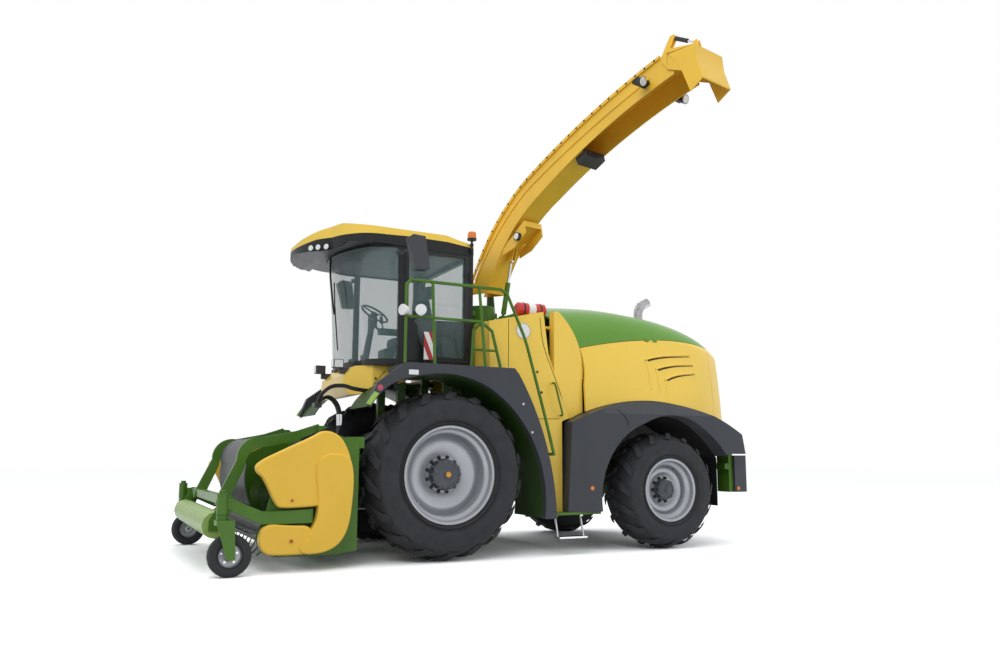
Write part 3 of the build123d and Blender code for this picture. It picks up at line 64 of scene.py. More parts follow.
# Wheels: middle at (x, y), disc and hub measured outwards from the middle plane
FRONT = SimpleNamespace(
    radius=0.96, width=0.71, rim_r=0.533, rim_w=0.584, lug_h=0.048, lugs=18, disc=0.04, boss=0.165,
    hub=0.235, x=0.0, y=1.24, studs=12)
REAR = SimpleNamespace(
    radius=0.745, width=0.6, rim_r=0.381, rim_w=0.508, lug_h=0.04, lugs=16, disc=0.04, boss=0.12, hub=0.2,
    x=-3.105, y=1.255, studs=10)
TYRE_SIDES = 120
RIM_SIDES = 128
LUG_LAG = 0.55
LUG_FLAT = 0.6
LUG_REACH = 0.93
LUG_BAR = 0.095
LUG_STATIONS = 9
GAUGE_R = 0.207
GAUGE_HALF = 0.075
GAUGE_SIDES = 64

# Spout: its plane leaves the turret's axis at this swing from straight back
TURRET_X = -1.1
SPOUT_SWING = radians(78)
SPOUT_WAY = Vector((-cos(SPOUT_SWING), sin(SPOUT_SWING), 0))
SPOUT_SIDE = Vector((sin(SPOUT_SWING), cos(SPOUT_SWING), 0))

# Heights and places that several pieces share
CAB_FLOOR = 2.2955
DECK = 2.2005
BEACON_X, BEACON_Y = -0.52, 0.93
STRAP_XS = (-1.45, -1.21)
AHEAD = Vector((1, 0, 0))
OUT = Vector((0, 1, 0))
UP = Vector((0, 0, 1))
SUNK = OUT * 0.004
# A turned section starts this far from its axis, so that its loop closes
AXIS = 0.0005


# Mesh helpers: a shape is a pair of vertices and faces

def join(*shapes):
    verts, faces = [], []
    for v, f in shapes:
        start = len(verts)
        verts += v
        faces += [tuple(i + start for i in face) for face in f]
    return verts, faces


def moved(shape, matrix):
    return [matrix @ p for p in shape[0]], shape[1]


def flipped(shape):
    """The same shape on the machine's other side."""
    return [Vector((p.x, -p.y, p.z)) for p in shape[0]], shape[1]


def pair(*shapes):
    shape = join(*shapes)
    return join(shape, flipped(shape))


def block(x0, x1, y0, y1, z0, z1):
    verts = [Vector((x, y, z)) for x in (x0, x1) for y in (y0, y1) for z in (z0, z1)]
    return verts, [(0, 1, 3, 2), (4, 6, 7, 5), (0, 4, 5, 1), (2, 3, 7, 6), (0, 2, 6, 4), (1, 5, 7, 3)]


def stack(rings):
    """A skin over rings of points, one after another, capped at both ends."""
    n = len(rings[0])
    last = n * (len(rings) - 1)
    faces = [(i + k, i + (k + 1) % n, i + n + (k + 1) % n, i + n + k)
             for i in range(0, last, n) for k in range(n)]
    faces += [tuple(reversed(range(n))), tuple(range(last, last + n))]
    return [p for ring in rings for p in ring], faces


def basis(way):
    """Two unit vectors across a direction."""
    way = way.normalized()
    other = UP if abs(way.z) < 0.9 else AHEAD
    u = way.cross(other).normalized()
    return u, way.cross(u).normalized()


def circle(centre, u, w, radius, sides, phase=0.0):
    """Points round a circle in the plane of u and w."""
    turns = [tau * (k + phase) / sides for k in range(sides)]
    return [centre + (u * cos(a) + w * sin(a)) * radius for a in turns]


def rod(start, end, radius, sides=24, end_radius=None):
    """A capped round bar or cone."""
    start, end = Vector(start), Vector(end)
    u, w = basis(end - start)
    last = radius if end_radius is None else end_radius
    return stack([circle(start, u, w, radius, sides), circle(end, u, w, last, sides)])


def curve(points, step=6):
    """Catmull-Rom points through a list of points."""
    spots = [Vector(p) for p in points]
    padded = [spots[0] * 2 - spots[1]] + spots + [spots[-1] * 2 - spots[-2]]
    out = []
    for a, b, c, d in zip(padded, padded[1:], padded[2:], padded[3:]):
        for k in range(step):
            t = k / step
            bend = 2 * a - 5 * b + 4 * c - d
            out.append(0.5 * (2 * b + (c - a) * t + bend * t * t + (3 * b - a - 3 * c + d) * t ** 3))
    out.append(spots[-1])
    return out


def curved(points, step):
    return [(p.x, p.y) for p in curve([(r, y, 0) for r, y in points], step)]


def heading(path, i):
    """The direction of a path at one of its points."""
    return (path[min(i + 1, len(path) - 1)] - path[max(i - 1, 0)]).normalized()


def rings_along(spots, radius, sides):
    u, _ = basis(spots[1] - spots[0])
    rings = []
    for i, spot in enumerate(spots):
        way = heading(spots, i)
        u = (u - way * u.dot(way)).normalized()
        rings.append(circle(spot, u, way.cross(u), radius, sides))
    return rings


def tube(points, radius, sides=10):
    """A capped tube along points."""
    return stack(rings_along(points, radius, sides))


def lathe(profile, sides, centre=Vector()):
    """Turn a closed loop of (radius, y) points round the wheel axis through centre."""
    n = len(profile)
    verts, faces = [], []
    for k in range(sides):
        a = tau * k / sides
        here, after = k * n, (k + 1) % sides * n
        verts += [centre + Vector((r * sin(a), y, r * cos(a))) for r, y in profile]
        faces += [(here + j, here + (j + 1) % n, after + (j + 1) % n, after + j) for j in range(n)]
    return verts, faces


def upright(profile, x, y):
    """Turn (radius, z) points round a vertical axis."""
    verts, faces = lathe(profile, 40)
    return [Vector((x + p.x, y + p.z, p.y)) for p in verts], faces


def slab(points, y0, y1):
    """Extrude an (x, z) outline across the machine."""
    return stack([[Vector((x, y, z)) for x, z in points] for y in (y0, y1)])


def bolt(spot, way, radius, height):
    """A hexagon head on a washer."""
    washer = rod(spot, spot + way * height * 0.25, radius * 1.35, 16)
    return join(washer, rod(spot, spot + way * height, radius, 6))


def spout_at(s, h, z):
    """A point s along the spout, h to its side and z up."""
    return Vector((TURRET_X, 0, z)) + SPOUT_WAY * s + SPOUT_SIDE * h


def mesh_object(name, shape, paint, sharp=38):
    mesh = bpy.data.meshes.new(name)
    mesh.from_pydata(shape[0], [], shape[1])
    work = bmesh.new()
    work.from_mesh(mesh)
    bmesh.ops.remove_doubles(work, verts=work.verts, dist=1e-6)
    bmesh.ops.recalc_face_normals(work, faces=work.faces)
    for face in work.faces:
        face.smooth = True
    for edge in work.edges:
        if len(edge.link_faces) == 2 and edge.calc_face_angle() > radians(sharp):
            edge.smooth = False
    work.to_mesh(mesh)
    work.free()
    mesh.materials.append(paint)
    obj = bpy.data.objects.new(name, mesh)
    SCENE.collection.objects.link(obj)
    return obj


def soften(obj, width):
    rounding = obj.modifiers.new("edge", "BEVEL")
    rounding.width = width
    rounding.segments = 2
    rounding.limit_method = "ANGLE"
    rounding.angle_limit = radians(32)
    shading = obj.modifiers.new("shading", "WEIGHTED_NORMAL")
    shading.weight = 60


def piece(name, shape, paint, body="chassis", sharp=38, bevel=0.0, replaces=()):
    obj = mesh_object(name, shape, paint, sharp)
    if bevel:
        soften(obj, bevel)
    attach(obj, body)
    if replaces:
        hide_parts(*replaces)
    return obj


# Materials

def shader(name):
    made = bpy.data.materials.new(name)
    made.use_nodes = True
    tree = made.node_tree
    return made, tree, tree.nodes["Principled BSDF"]


def feed(tree, target, values):
    """Give each input a number, a colour or another node's output."""
    for name, value in values.items():
        if isinstance(value, bpy.types.NodeSocket):
            tree.links.new(value, target.inputs[name])
        else:
            target.inputs[name].default_value = value


def node(tree, kind, values, **settings):
    made = tree.nodes.new("ShaderNode" + kind)
    for name, value in settings.items():
        setattr(made, name, value)
    feed(tree, made, values)
    return made


def noise(tree, scale, detail=4.0, stretch=None):
    """Grey noise in the object's own coordinates."""
    place = node(tree, "TexCoord", {}).outputs["Object"]
    if stretch:
        place = node(tree, "Mapping", {"Scale": stretch, "Vector": place}).outputs["Vector"]
    return node(tree, "TexNoise", {"Scale": scale, "Detail": detail, "Vector": place}).outputs["Fac"]


def ramp(tree, source, low, high, dark, pale):
    made = node(tree, "ValToRGB", {"Fac": source})
    first, last = made.color_ramp.elements
    first.position, last.position = low, high
    first.color, last.color = (*dark, 1), (*pale, 1)
    return made.outputs["Color"]


def spread(colour, amount):
    """A darker and a paler shade."""
    return tuple(c * (1 - amount) for c in colour), tuple(min(1.0, c * (1 + amount)) for c in colour)


def emboss(tree, bsdf, height, strength, **depth):
    bump = node(tree, "Bump", {"Strength": strength, "Height": height, **depth})
    feed(tree, bsdf, {"Normal": bump.outputs["Normal"]})


def finish(name, colour, rough, rough_spread=0.06, metal=0, coat=0.0, vary=0.05, scale=3,
           bump=0.05, fine=180, depth=0.002, edge=None, shine=0.5):
    """A surface with mottled colour, uneven gloss and, if named, lighter worn edges.

    vary and scale are the mottling's; bump, fine and depth are the skin's strength, scale and height.
    """
    made, tree, bsdf = shader(name)
    tone = ramp(tree, noise(tree, scale), 0.3, 0.7, *spread(colour, vary))
    if edge:
        corners = node(tree, "NewGeometry", {}).outputs["Pointiness"]
        worn = ramp(tree, corners, 0.53, 0.62, (0, 0, 0), (0.5, 0.5, 0.5))
        mix = node(tree, "Mix", {"Factor": worn, "A": tone, "B": (*edge, 1)}, data_type="RGBA")
        tone = mix.outputs["Result"]
    bright, dull = (rough - rough_spread,) * 3, (rough + rough_spread,) * 3
    gloss = ramp(tree, noise(tree, scale * 2.3, 6), 0.3, 0.7, bright, dull)
    feed(tree, bsdf, {"Base Color": tone, "Roughness": gloss, "Metallic": metal, "Coat Weight": coat,
                      "Coat Roughness": 0.08, "Specular IOR Level": shine})
    emboss(tree, bsdf, noise(tree, fine, 3), bump, Distance=depth)
    return made


def clear_glass(name, colour, alpha, rough=0.03):
    made, tree, bsdf = shader(name)
    tone = ramp(tree, noise(tree, 1.5), 0.3, 0.7, *spread(colour, 0.12))
    feed(tree, bsdf, {"Base Color": tone, "Roughness": rough, "Alpha": alpha, "Specular IOR Level": 0.7})
    emboss(tree, bsdf, noise(tree, 2.0, 1), 0.02)
    return made


def striped(name, first, second, width, way):
    """Diagonal stripes of two colours."""
    made, tree, bsdf = shader(name)
    place = node(tree, "TexCoord", {}).outputs["Object"]
    stride = tuple(c / width for c in way)
    along = node(tree, "VectorMath", {0: place, 1: stride}, operation="DOT_PRODUCT").outputs["Value"]
    wave = node(tree, "Math", {0: along, 1: 1.0}, operation="PINGPONG").outputs["Value"]
    feed(tree, bsdf, {"Base Color": ramp(tree, wave, 0.49, 0.51, first, second), "Roughness": 0.35})
    emboss(tree, bsdf, noise(tree, 90.0, 2), 0.03)
    return made


def woven(name, colour):
    made, tree, bsdf = shader(name)
    cloth = noise(tree, 420.0, 2, (1.0, 3.0, 1.0))
    tone = ramp(tree, cloth, 0.35, 0.65, *spread(colour, 0.35))
    feed(tree, bsdf, {"Base Color": tone, "Roughness": 0.92, "Sheen Weight": 0.25})
    emboss(tree, bsdf, cloth, 0.5, Distance=0.001)
    return made


YELLOW = finish(
    "yellow paint", (0.87, 0.595, 0.085), 0.32, coat=0.15, vary=0.03, scale=1.2, bump=0.02, shine=0.35)
SPOUT_YELLOW = finish(
    "spout paint", (0.8, 0.49, 0.045), 0.36, coat=0.1, vary=0.06, scale=2, bump=0.03, shine=0.35)
SHIELD_YELLOW = finish("shield yellow", (0.8, 0.5, 0.06), 0.4, vary=0.03, scale=1.5, bump=0.03, shine=0.3)
GREEN = finish(
    "frame green", (0.055, 0.145, 0.01), 0.38, coat=0.1, vary=0.12, scale=4, edge=(0.12, 0.24, 0.04),
    shine=0.3)
HOOD_GREEN = finish("hood green", (0.105, 0.265, 0.026), 0.32, coat=0.1, scale=1, bump=0.02, shine=0.4)
ROLLER_GREEN = finish("roller green", (0.25, 0.38, 0.1), 0.42, vary=0.08, scale=5, shine=0.3)
LIME = finish("lime patch", (0.3, 0.5, 0.08), 0.35, vary=0.08, scale=8)
LINER = finish("liner green", (0.022, 0.055, 0.008), 0.55, vary=0.15, bump=0.1, shine=0.3)
SKIRT = finish(
    "skirt grey", (0.04, 0.044, 0.053), 0.46, vary=0.06, scale=2, bump=0.12, fine=600, depth=0.0006,
    edge=(0.06, 0.065, 0.07), shine=0.35)
BLACK = finish(
    "black trim", (0.012, 0.013, 0.014), 0.42, vary=0.15, scale=6, bump=0.1, fine=500, depth=0.0006,
    edge=(0.035, 0.035, 0.037), shine=0.3)
MATTE_BLACK = finish("matte black", (0.01, 0.01, 0.011), 0.72, vary=0.2, scale=5, bump=0.2, shine=0.2)
# Painted shade: the dark strip under each hood louvre blade
LOUVRE_SHADE = finish("louvre shade", (0.045, 0.03, 0.012), 0.7, vary=0.2, scale=5, bump=0.1, shine=0.2)
RUBBER = finish(
    "tyre rubber", (0.026, 0.027, 0.03), 0.66, vary=0.16, scale=7, bump=0.25, fine=260, depth=0.0012,
    edge=(0.055, 0.055, 0.058), shine=0.3)
HOSE = finish(
    "hose rubber", (0.01, 0.01, 0.011), 0.38, vary=0.2, scale=20, bump=0.2, fine=300, shine=0.35)
SILVER = finish(
    "rim silver", (0.4, 0.415, 0.44), 0.38, metal=0.4, bump=0.06, edge=(0.55, 0.55, 0.57), shine=0.4)
HUB = finish(
    "hub casting", (0.06, 0.068, 0.078), 0.48, metal=0.3, vary=0.15, scale=14, bump=0.3, fine=120,
    edge=(0.17, 0.17, 0.18))
STEEL = finish("bright steel", (0.62, 0.63, 0.64), 0.14, 0.04, metal=1, scale=8, bump=0.02)
PIPE_STEEL = finish("pipe steel", (0.42, 0.42, 0.43), 0.2, metal=1, vary=0.15, scale=14)
DARK_STEEL = finish(
    "dark steel", (0.04, 0.042, 0.045), 0.42, metal=0.4, vary=0.15, scale=12, bump=0.1, shine=0.3)
CASTING = finish("engine casting", (0.11, 0.11, 0.11), 0.6, metal=0.2, vary=0.2, scale=8, bump=0.35)
GUARD = finish(
    "guard sheet", (0.085, 0.09, 0.092), 0.55, vary=0.1, scale=4, bump=0.3, fine=240, depth=0.001,
    shine=0.3)
MIRROR_GREY = finish(
    "mirror grey", (0.045, 0.048, 0.054), 0.42, vary=0.06, scale=6, bump=0.08, edge=(0.09, 0.09, 0.1),
    shine=0.35)
RED = finish("signal red", (0.52, 0.022, 0.018), 0.28, coat=0.4, vary=0.08, scale=9)
WHITE = finish("white paint", (0.8, 0.8, 0.79), 0.3, coat=0.2, vary=0.03, scale=9)
LENS = finish(
    "lamp lens", (0.74, 0.76, 0.76), 0.1, 0.03, coat=0.8, vary=0.1, scale=60, bump=0.6, fine=320,
    depth=0.001)
REFLECTOR = finish("reflector", (0.72, 0.73, 0.74), 0.12, 0.04, metal=1, vary=0.04, scale=30)
ORANGE = finish(
    "orange marker", (0.78, 0.2, 0.015), 0.22, coat=0.6, vary=0.1, scale=50, bump=0.4, fine=400,
    depth=0.0006)
CAP_ORANGE = finish("hub cap", (0.72, 0.3, 0.02), 0.36, vary=0.1, scale=40)
PINK = finish("red marker", (0.42, 0.05, 0.09), 0.25, coat=0.5, vary=0.1, scale=50)
GLASS = clear_glass("tinted glass", (0.13, 0.22, 0.22), 0.24)
BEACON_GLASS = clear_glass("beacon glass", (0.85, 0.22, 0.02), 0.86, 0.08)
SEAT_CLOTH = woven("seat cloth", (0.035, 0.045, 0.052))
INTERIOR = finish(
    "interior plastic", (0.055, 0.065, 0.072), 0.55, vary=0.12, scale=9, bump=0.3, fine=420,
    depth=0.0006)
SCREEN = finish("screen glass", (0.018, 0.03, 0.035), 0.1, 0.03, coat=0.8, vary=0.2, scale=6)
BOARD = striped("warning board", (0.42, 0.02, 0.02), (0.8, 0.8, 0.78), 0.0596, (-0.925, 0, 0.38))

CAD_LOOKS = (
    (GREEN, "main_frame axles chopper_unit platform_rails turret spout_lift_barrel feeder_house"),
    (GREEN, "header_frame feed_auger crop_press_arms gauge_fork_left gauge_fork_right"),
    (YELLOW, "body_front hood_door_left hood_door_right hood_rear roof_cap cab_nose"),
    (SPOUT_YELLOW, "spout_trough spout_flap"), (SHIELD_YELLOW, "header_shields"),
    (HOOD_GREEN, "hood_top"), (ROLLER_GREEN, "press_roller"), (GUARD, "windguard"),
    (SKIRT, "front_fenders rear_fenders"), (LINER, "front_arches"), (MATTE_BLACK, "rear_arches"),
    (BLACK, "cab_frame cab_door roof_visor beacon spout_lamps"), (GLASS, "cab_glass cab_door_glass"),
    (INTERIOR, "cab_interior"), (MIRROR_GREY, "mirrors"), (WHITE, "work_lamps"),
    (RED, "extinguisher"), (CASTING, "engine_block"),
    (STEEL, "folding_step exhaust_pipe spout_lift_rod flap_rod header_lift_rods"),
    (DARK_STEEL, "knuckle_left knuckle_right flap_barrel pickup_reel header_lift_barrels"),
    (RUBBER, "tyre_front_left tyre_front_right tyre_rear_left tyre_rear_right"),
    (RUBBER, "gauge_wheel_left gauge_wheel_right"),
    (SILVER, "rim_front_left rim_front_right rim_rear_left rim_rear_right"),
)
COMMON_EDGE = 0.004
SOFT_EDGES = {
    "hood_top": 0.012, "body_front": 0.006, "roof_cap": 0.01, "header_shields": 0.022,
    "front_fenders": 0.012, "rear_fenders": 0.014, "cab_nose": 0.014, "mirrors": 0.018, "cab_glass": 0.0,
    "cab_door_glass": 0.0, "roof_visor": 0.014, "hood_rear": 0.008, "hood_door_left": 0.006,
    "hood_door_right": 0.006, "windguard": 0.002,
}


def dress_node(name, look):
    obj = NODES[name]
    obj.data.materials.clear()
    obj.data.materials.append(look)
    weld = obj.modifiers.new("weld", "WELD")
    weld.merge_threshold = 0.00005
    width = SOFT_EDGES.get(name, COMMON_EDGE)
    if width:
        soften(obj, width)


# Wheels

def carcass(spec):
    """Half the tyre's section as (radius, y) from the crown to the bead."""
    half = spec.width / 2
    tread = spec.radius - spec.lug_h
    rim_r = spec.rim_r
    side = rim_r + 0.42 * (tread - rim_r)
    bead = spec.rim_w / 2
    return curved([
        (tread + 0.003, 0), (tread, 0.5 * half), (tread - 0.062, 0.92 * half), (tread - 0.14, 0.985 * half),
        (side, half), ((side + rim_r) / 2 + 0.01, 0.955 * half), (rim_r + 0.03, bead + 0.004),
        (rim_r + 0.004, bead - 0.006),
    ], 5)


def lug(spec, radial):
    """One bar of the tread at the top of the wheel, from the middle to the shoulder."""
    reach = LUG_REACH * spec.width / 2
    bar = LUG_BAR * spec.radius
    rings = []
    for i in range(LUG_STATIONS):
        t = i / (LUG_STATIONS - 1)
        y = -0.004 + t * (reach * 1.045)
        drop = max(0.0, y - LUG_FLAT * reach)
        top = radial - 0.0006 - 0.3 * drop - 1.15 * drop * drop / reach
        base = min(spec.radius - spec.lug_h - 0.006 - 0.88 * drop * drop / reach, top - 0.004)
        middle = LUG_LAG * y - 0.018 * sin(pi * t)
        width = bar * (0.46 + 0.02 * t)
        section = (
            (-1.3, base), (-1.04, top - 0.006), (-0.93, top), (0.93, top), (1.04, top - 0.006), (1.3, base),
        )
        rings.append([Vector((middle + share * width, y, r)) for share, r in section])
    return stack(rings)


def tyre_shape(spec):
    """Carcass, two rows of lugs and two ribs round each side wall."""
    radius, half = spec.radius, spec.width / 2
    half_loop = carcass(spec)
    shapes = [lathe(half_loop + [(r, -y) for r, y in reversed(half_loop[1:])], TYRE_SIDES)]
    lead = LUG_LAG * LUG_FLAT * LUG_REACH * half + LUG_BAR * radius / 2
    one = lug(spec, sqrt(radius ** 2 - lead ** 2))
    phase = pi - asin(lead / radius)
    pitch = tau / spec.lugs
    for side, start in ((one, phase), (flipped(one), phase + pitch / 2)):
        shapes += [moved(side, Matrix.Rotation(start + pitch * k, 4, "Y")) for k in range(spec.lugs)]
    ribs = []
    for above, share, swell in ((0.055, 0.965, 0.004), (0.075, 0.975, 0.003)):
        r, y = spec.rim_r + above, share * half * 0.985
        crest, foot = y + swell, y - 0.02
        profile = [(r + 0.006, foot), (r + 0.003, crest), (r - 0.003, crest), (r - 0.006, foot)]
        ribs.append(lathe(profile, TYRE_SIDES))
    return join(*shapes, pair(*ribs))


def rim_shape(spec):
    """The pressed rim, disc and boss, turned from a closed section."""
    half = spec.rim_w / 2
    r0 = spec.rim_r
    disc = spec.disc
    face = disc + 0.07
    boss = spec.boss + 0.02
    well = r0 - 0.055
    front = curved([
        (r0 + 0.02, half), (r0 + 0.021, half + 0.01), (r0 + 0.012, half + 0.015),
        (r0 - 0.006, half + 0.011), (r0 - 0.016, half - 0.01), (r0 - 0.02, half - 0.052),
        (r0 - 0.04, half - 0.072), (well - 0.014, half - 0.1), (well - 0.014, disc + 0.055),
        (well - 0.024, disc + 0.026), (0.86 * r0, disc + 0.03), (0.79 * r0, face - 0.01),
        (0.7 * r0, face + 0.016), (0.6 * r0, face + 0.008), (boss + 0.05, disc + 0.046),
        (boss + 0.02, disc + 0.036), (boss - 0.02, disc + 0.036),
    ], 3)
    back = [
        (boss - 0.02, disc + 0.012), (boss + 0.05, disc + 0.022), (0.6 * r0, face - 0.008),
        (0.7 * r0, face), (0.79 * r0, face - 0.026), (well - 0.006, disc), (well - 0.012, -half + 0.09),
        (r0 - 0.014, -half + 0.055), (r0 - 0.012, -half - 0.012), (r0 + 0.02, -half - 0.013),
        (r0 + 0.02, -half), (r0, -half), (r0, -half + 0.062), (well, -half + 0.095),
        (well, half - 0.095), (r0, half - 0.062), (r0, half),
    ]
    return lathe(front + back, RIM_SIDES)


def hub_shape(spec):
    """Planetary hub casting with its flange, neck and ribbed cover."""
    boss, hub, disc = spec.boss, spec.hub, spec.disc
    section = [
        (AXIS, disc - 0.05), (boss + 0.012, disc - 0.05), (boss + 0.012, disc + 0.045),
        (boss - 0.004, disc + 0.06), (boss - 0.012, hub - 0.085), (boss + 0.002, hub - 0.075),
        (boss + 0.004, hub - 0.03), (boss - 0.008, hub - 0.018), (boss - 0.03, hub - 0.012),
        (boss - 0.055, hub), (0.05, hub), (0.046, hub + 0.01), (AXIS, hub + 0.01),
    ]
    shapes = [lathe(section, 72)]
    for spot in circle(OUT * (hub - 0.014), UP, AHEAD, boss - 0.02, spec.studs, 0.5):
        shapes.append(bolt(spot, OUT, 0.01, 0.014))
    for spot in circle(Vector(), UP, AHEAD, boss + 0.004, spec.studs):
        shapes.append(rod(spot + OUT * (disc + 0.04), spot + OUT * (hub - 0.04), 0.012, 12))
    return join(*shapes)


def wheel_nuts(spec):
    nuts = []
    for spot in circle(OUT * (spec.disc + 0.036), UP, AHEAD, spec.boss + 0.034, spec.studs, 0.5):
        nuts.append(bolt(spot, OUT, 0.017, 0.03))
        nuts.append(rod(spot, spot + OUT * 0.048, 0.009, 12))
    return join(*nuts)


def add_wheel(spec, end, side):
    sign = 1 if side == "left" else -1
    place = Matrix.Translation((spec.x, sign * spec.y, spec.radius))

    def put(part, shape, look, **more):
        if sign < 0:
            shape = flipped(shape)
        piece(f"{part}_{end}_{side}", moved(shape, place), look, f"wheel_{end}_{side}", **more)

    put("tread", tyre_shape(spec), RUBBER, replaces=[f"tyre_{end}_{side}"], sharp=30)
    put("dish", rim_shape(spec), SILVER, replaces=[f"rim_{end}_{side}"], sharp=50)
    put("hub", hub_shape(spec), HUB, sharp=30)
    put("nuts", wheel_nuts(spec), DARK_STEEL, sharp=30)
    cap_y = spec.hub + 0.01
    cap = rod((0, cap_y, 0), (0, cap_y + 0.012, 0), 0.032, 32, 0.028)
    put("cap", cap, CAP_ORANGE if end == "front" else HUB, bevel=0.003)
    out = (spec.rim_r - 0.075) * 0.7
    put("valve", rod((out, spec.disc + 0.03, -out), (out, spec.disc + 0.1, -out), 0.007, 12), STEEL)


def add_gauge_wheel(side):
    sign = 1 if side == "left" else -1
    low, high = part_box("gauge_wheel_" + side)
    centre = (low + high) / 2
    centre.z = GAUGE_R
    body = "gauge_" + side
    right = curved([
        (GAUGE_R, 0), (GAUGE_R - 0.004, 0.55 * GAUGE_HALF), (GAUGE_R - 0.022, 0.9 * GAUGE_HALF),
        (GAUGE_R - 0.05, GAUGE_HALF), (0.128, 0.92 * GAUGE_HALF), (0.112, 0.72 * GAUGE_HALF),
    ], 4)
    shapes = [lathe(right + [(r, -y) for r, y in reversed(right[1:])], GAUGE_SIDES, centre)]
    for y in (-0.034, -0.012, 0.012, 0.034):
        ring = [(GAUGE_R - 0.012, y - 0.004), (GAUGE_R - 0.0002, y - 0.003), (GAUGE_R - 0.0002, y + 0.003),
                (GAUGE_R - 0.012, y + 0.004)]
        shapes.append(lathe(ring, GAUGE_SIDES, centre))
    piece("gauge_tyre_" + side, join(*shapes), RUBBER, body, replaces=["gauge_wheel_" + side])
    rim = [(0.124, 0.06), (0.13, 0.052), (0.118, 0.046), (0.108, 0.03), (0.1, 0.014), (0.06, 0.008),
           (0.046, 0.03), (0.046, 0.058), (0.0145, 0.06), (0.0145, -0.06), (0.046, -0.058),
           (0.046, -0.03), (0.06, -0.006), (0.1, -0.004), (0.112, -0.046), (0.124, -0.06),
           (0.118, -0.04), (0.118, 0.036)]
    piece("gauge_rim_" + side, lathe(rim, GAUGE_SIDES, centre), SILVER, body)
    face = centre + OUT * sign * 0.009
    nuts = [bolt(spot, OUT * sign, 0.009, 0.012) for spot in circle(face, UP, AHEAD, 0.075, 5)]
    piece("gauge_nuts_" + side, join(*nuts), STEEL, body)


# Details laid on a node's own surface

class Skin:
    """The outside of a CAD node, looked at from the machine's left."""

    def __init__(self, name):
        mesh = NODES[name].data
        verts = [v.co.copy() for v in mesh.vertices]
        self.tree = BVHTree.FromPolygons(verts, [tuple(f.vertices) for f in mesh.polygons])

    def side(self, x, z):
        return self.tree.ray_cast(Vector((x, 3.0, z)), -OUT)[0]

    def discs(self, spots, height, sides, sunk=0.0):
        """Discs at (x, z, radius) spots, each standing this high."""
        found = [(self.side(x, z), radius) for x, z, radius in spots]
        return pair(*[rod(hit - OUT * sunk, hit + OUT * height, r, sides) for hit, r in found])


def ribbon(skin, points, width, height, tip=1.0):
    """A low strip laid on a side surface along (x, z) points, tip times as wide at its end."""
    path = curve([(x, 0, z) for x, z in points], 5)
    rings = []
    for i, spot in enumerate(path):
        way = heading(path, i)
        across = Vector((-way.z, 0, way.x)) * width / 2 * (1 + (tip - 1) * i / (len(path) - 1))
        first, last = [skin.side(spot.x + across.x * k, spot.z + across.z * k) for k in (-1, 1)]
        if first is not None and last is not None:
            rings.append([first - SUNK, first + OUT * height, last + OUT * height, last - SUNK])
    return stack(rings)


def patch(skin, points, height):
    """A low plate with an (x, z) outline laid on a side surface."""
    ring = []
    for x, z in points:
        hit = skin.side(x, z)
        ring.append(Vector((x, ring[-1].y, z)) if hit is None else hit)
    n = len(ring)
    middle = skin.side(sum(x for x, z in points) / n, sum(z for x, z in points) / n)
    verts = [p - SUNK for p in ring] + [p + OUT * height for p in ring + [middle]]
    faces = [(k, (k + 1) % n, n + (k + 1) % n, n + k) for k in range(n)]
    faces += [(n + k, n + (k + 1) % n, 2 * n) for k in range(n)]
    faces.append(tuple(reversed(range(n))))
    return verts, faces


# Louvres on the hood doors: the long edge of each and the leg under its front end
LOUVRES = (
    ([(-2.877, 2.442), (-3.042, 2.483), (-3.266, 2.517), (-3.679, 2.552)],
     [(-2.895, 2.432), (-2.92, 2.345), (-2.935, 2.2), (-2.95, 2.04)]),
    ([(-3.038, 2.325), (-3.217, 2.37), (-3.42, 2.402), (-3.732, 2.428)],
     [(-3.05, 2.315), (-3.07, 2.24), (-3.08, 2.13), (-3.09, 2.02)]),
    ([(-3.184, 2.189), (-3.325, 2.24), (-3.484, 2.275), (-3.751, 2.309)],
     [(-3.192, 2.18), (-3.205, 2.13), (-3.205, 2.07), (-3.198, 2.01)]),
)
GRILLE_BARS = 15
GRILLE_PITCH = 0.0943


def add_hood_details():
    skin = Skin("hood_door_left")
    dark, blades = [], []
    for line, leg in LOUVRES:
        # Painted shade: a dark strip laid just below each blade's edge, where the blade's shade falls
        dark.append(ribbon(skin, [(x, z - 0.022) for x, z in line], 0.03, 0.0022, tip=0.3))
        blades.append(ribbon(skin, line, 0.02, 0.012, tip=0.4))
        blades.append(ribbon(skin, leg, 0.045, 0.006, tip=0.5))
    blade_shade, blade = join(*dark), join(*blades)
    for side, shade_strip, bright in (("left", blade_shade, blade), ("right", flipped(blade_shade), flipped(blade))):
        body = "side_door_" + side
        piece("louvre_shade_" + side, shade_strip, LOUVRE_SHADE, body)
        piece("louvre_blade_" + side, bright, YELLOW, body, bevel=0.003)
    middles = [-0.66 + GRILLE_PITCH * k for k in range(GRILLE_BARS)]
    grille = [block(-4.372, -4.366, y - 0.003, y + 0.003, 1.76, 2.41) for y in middles]
    piece("rear_mesh", join(*grille), MATTE_BLACK)


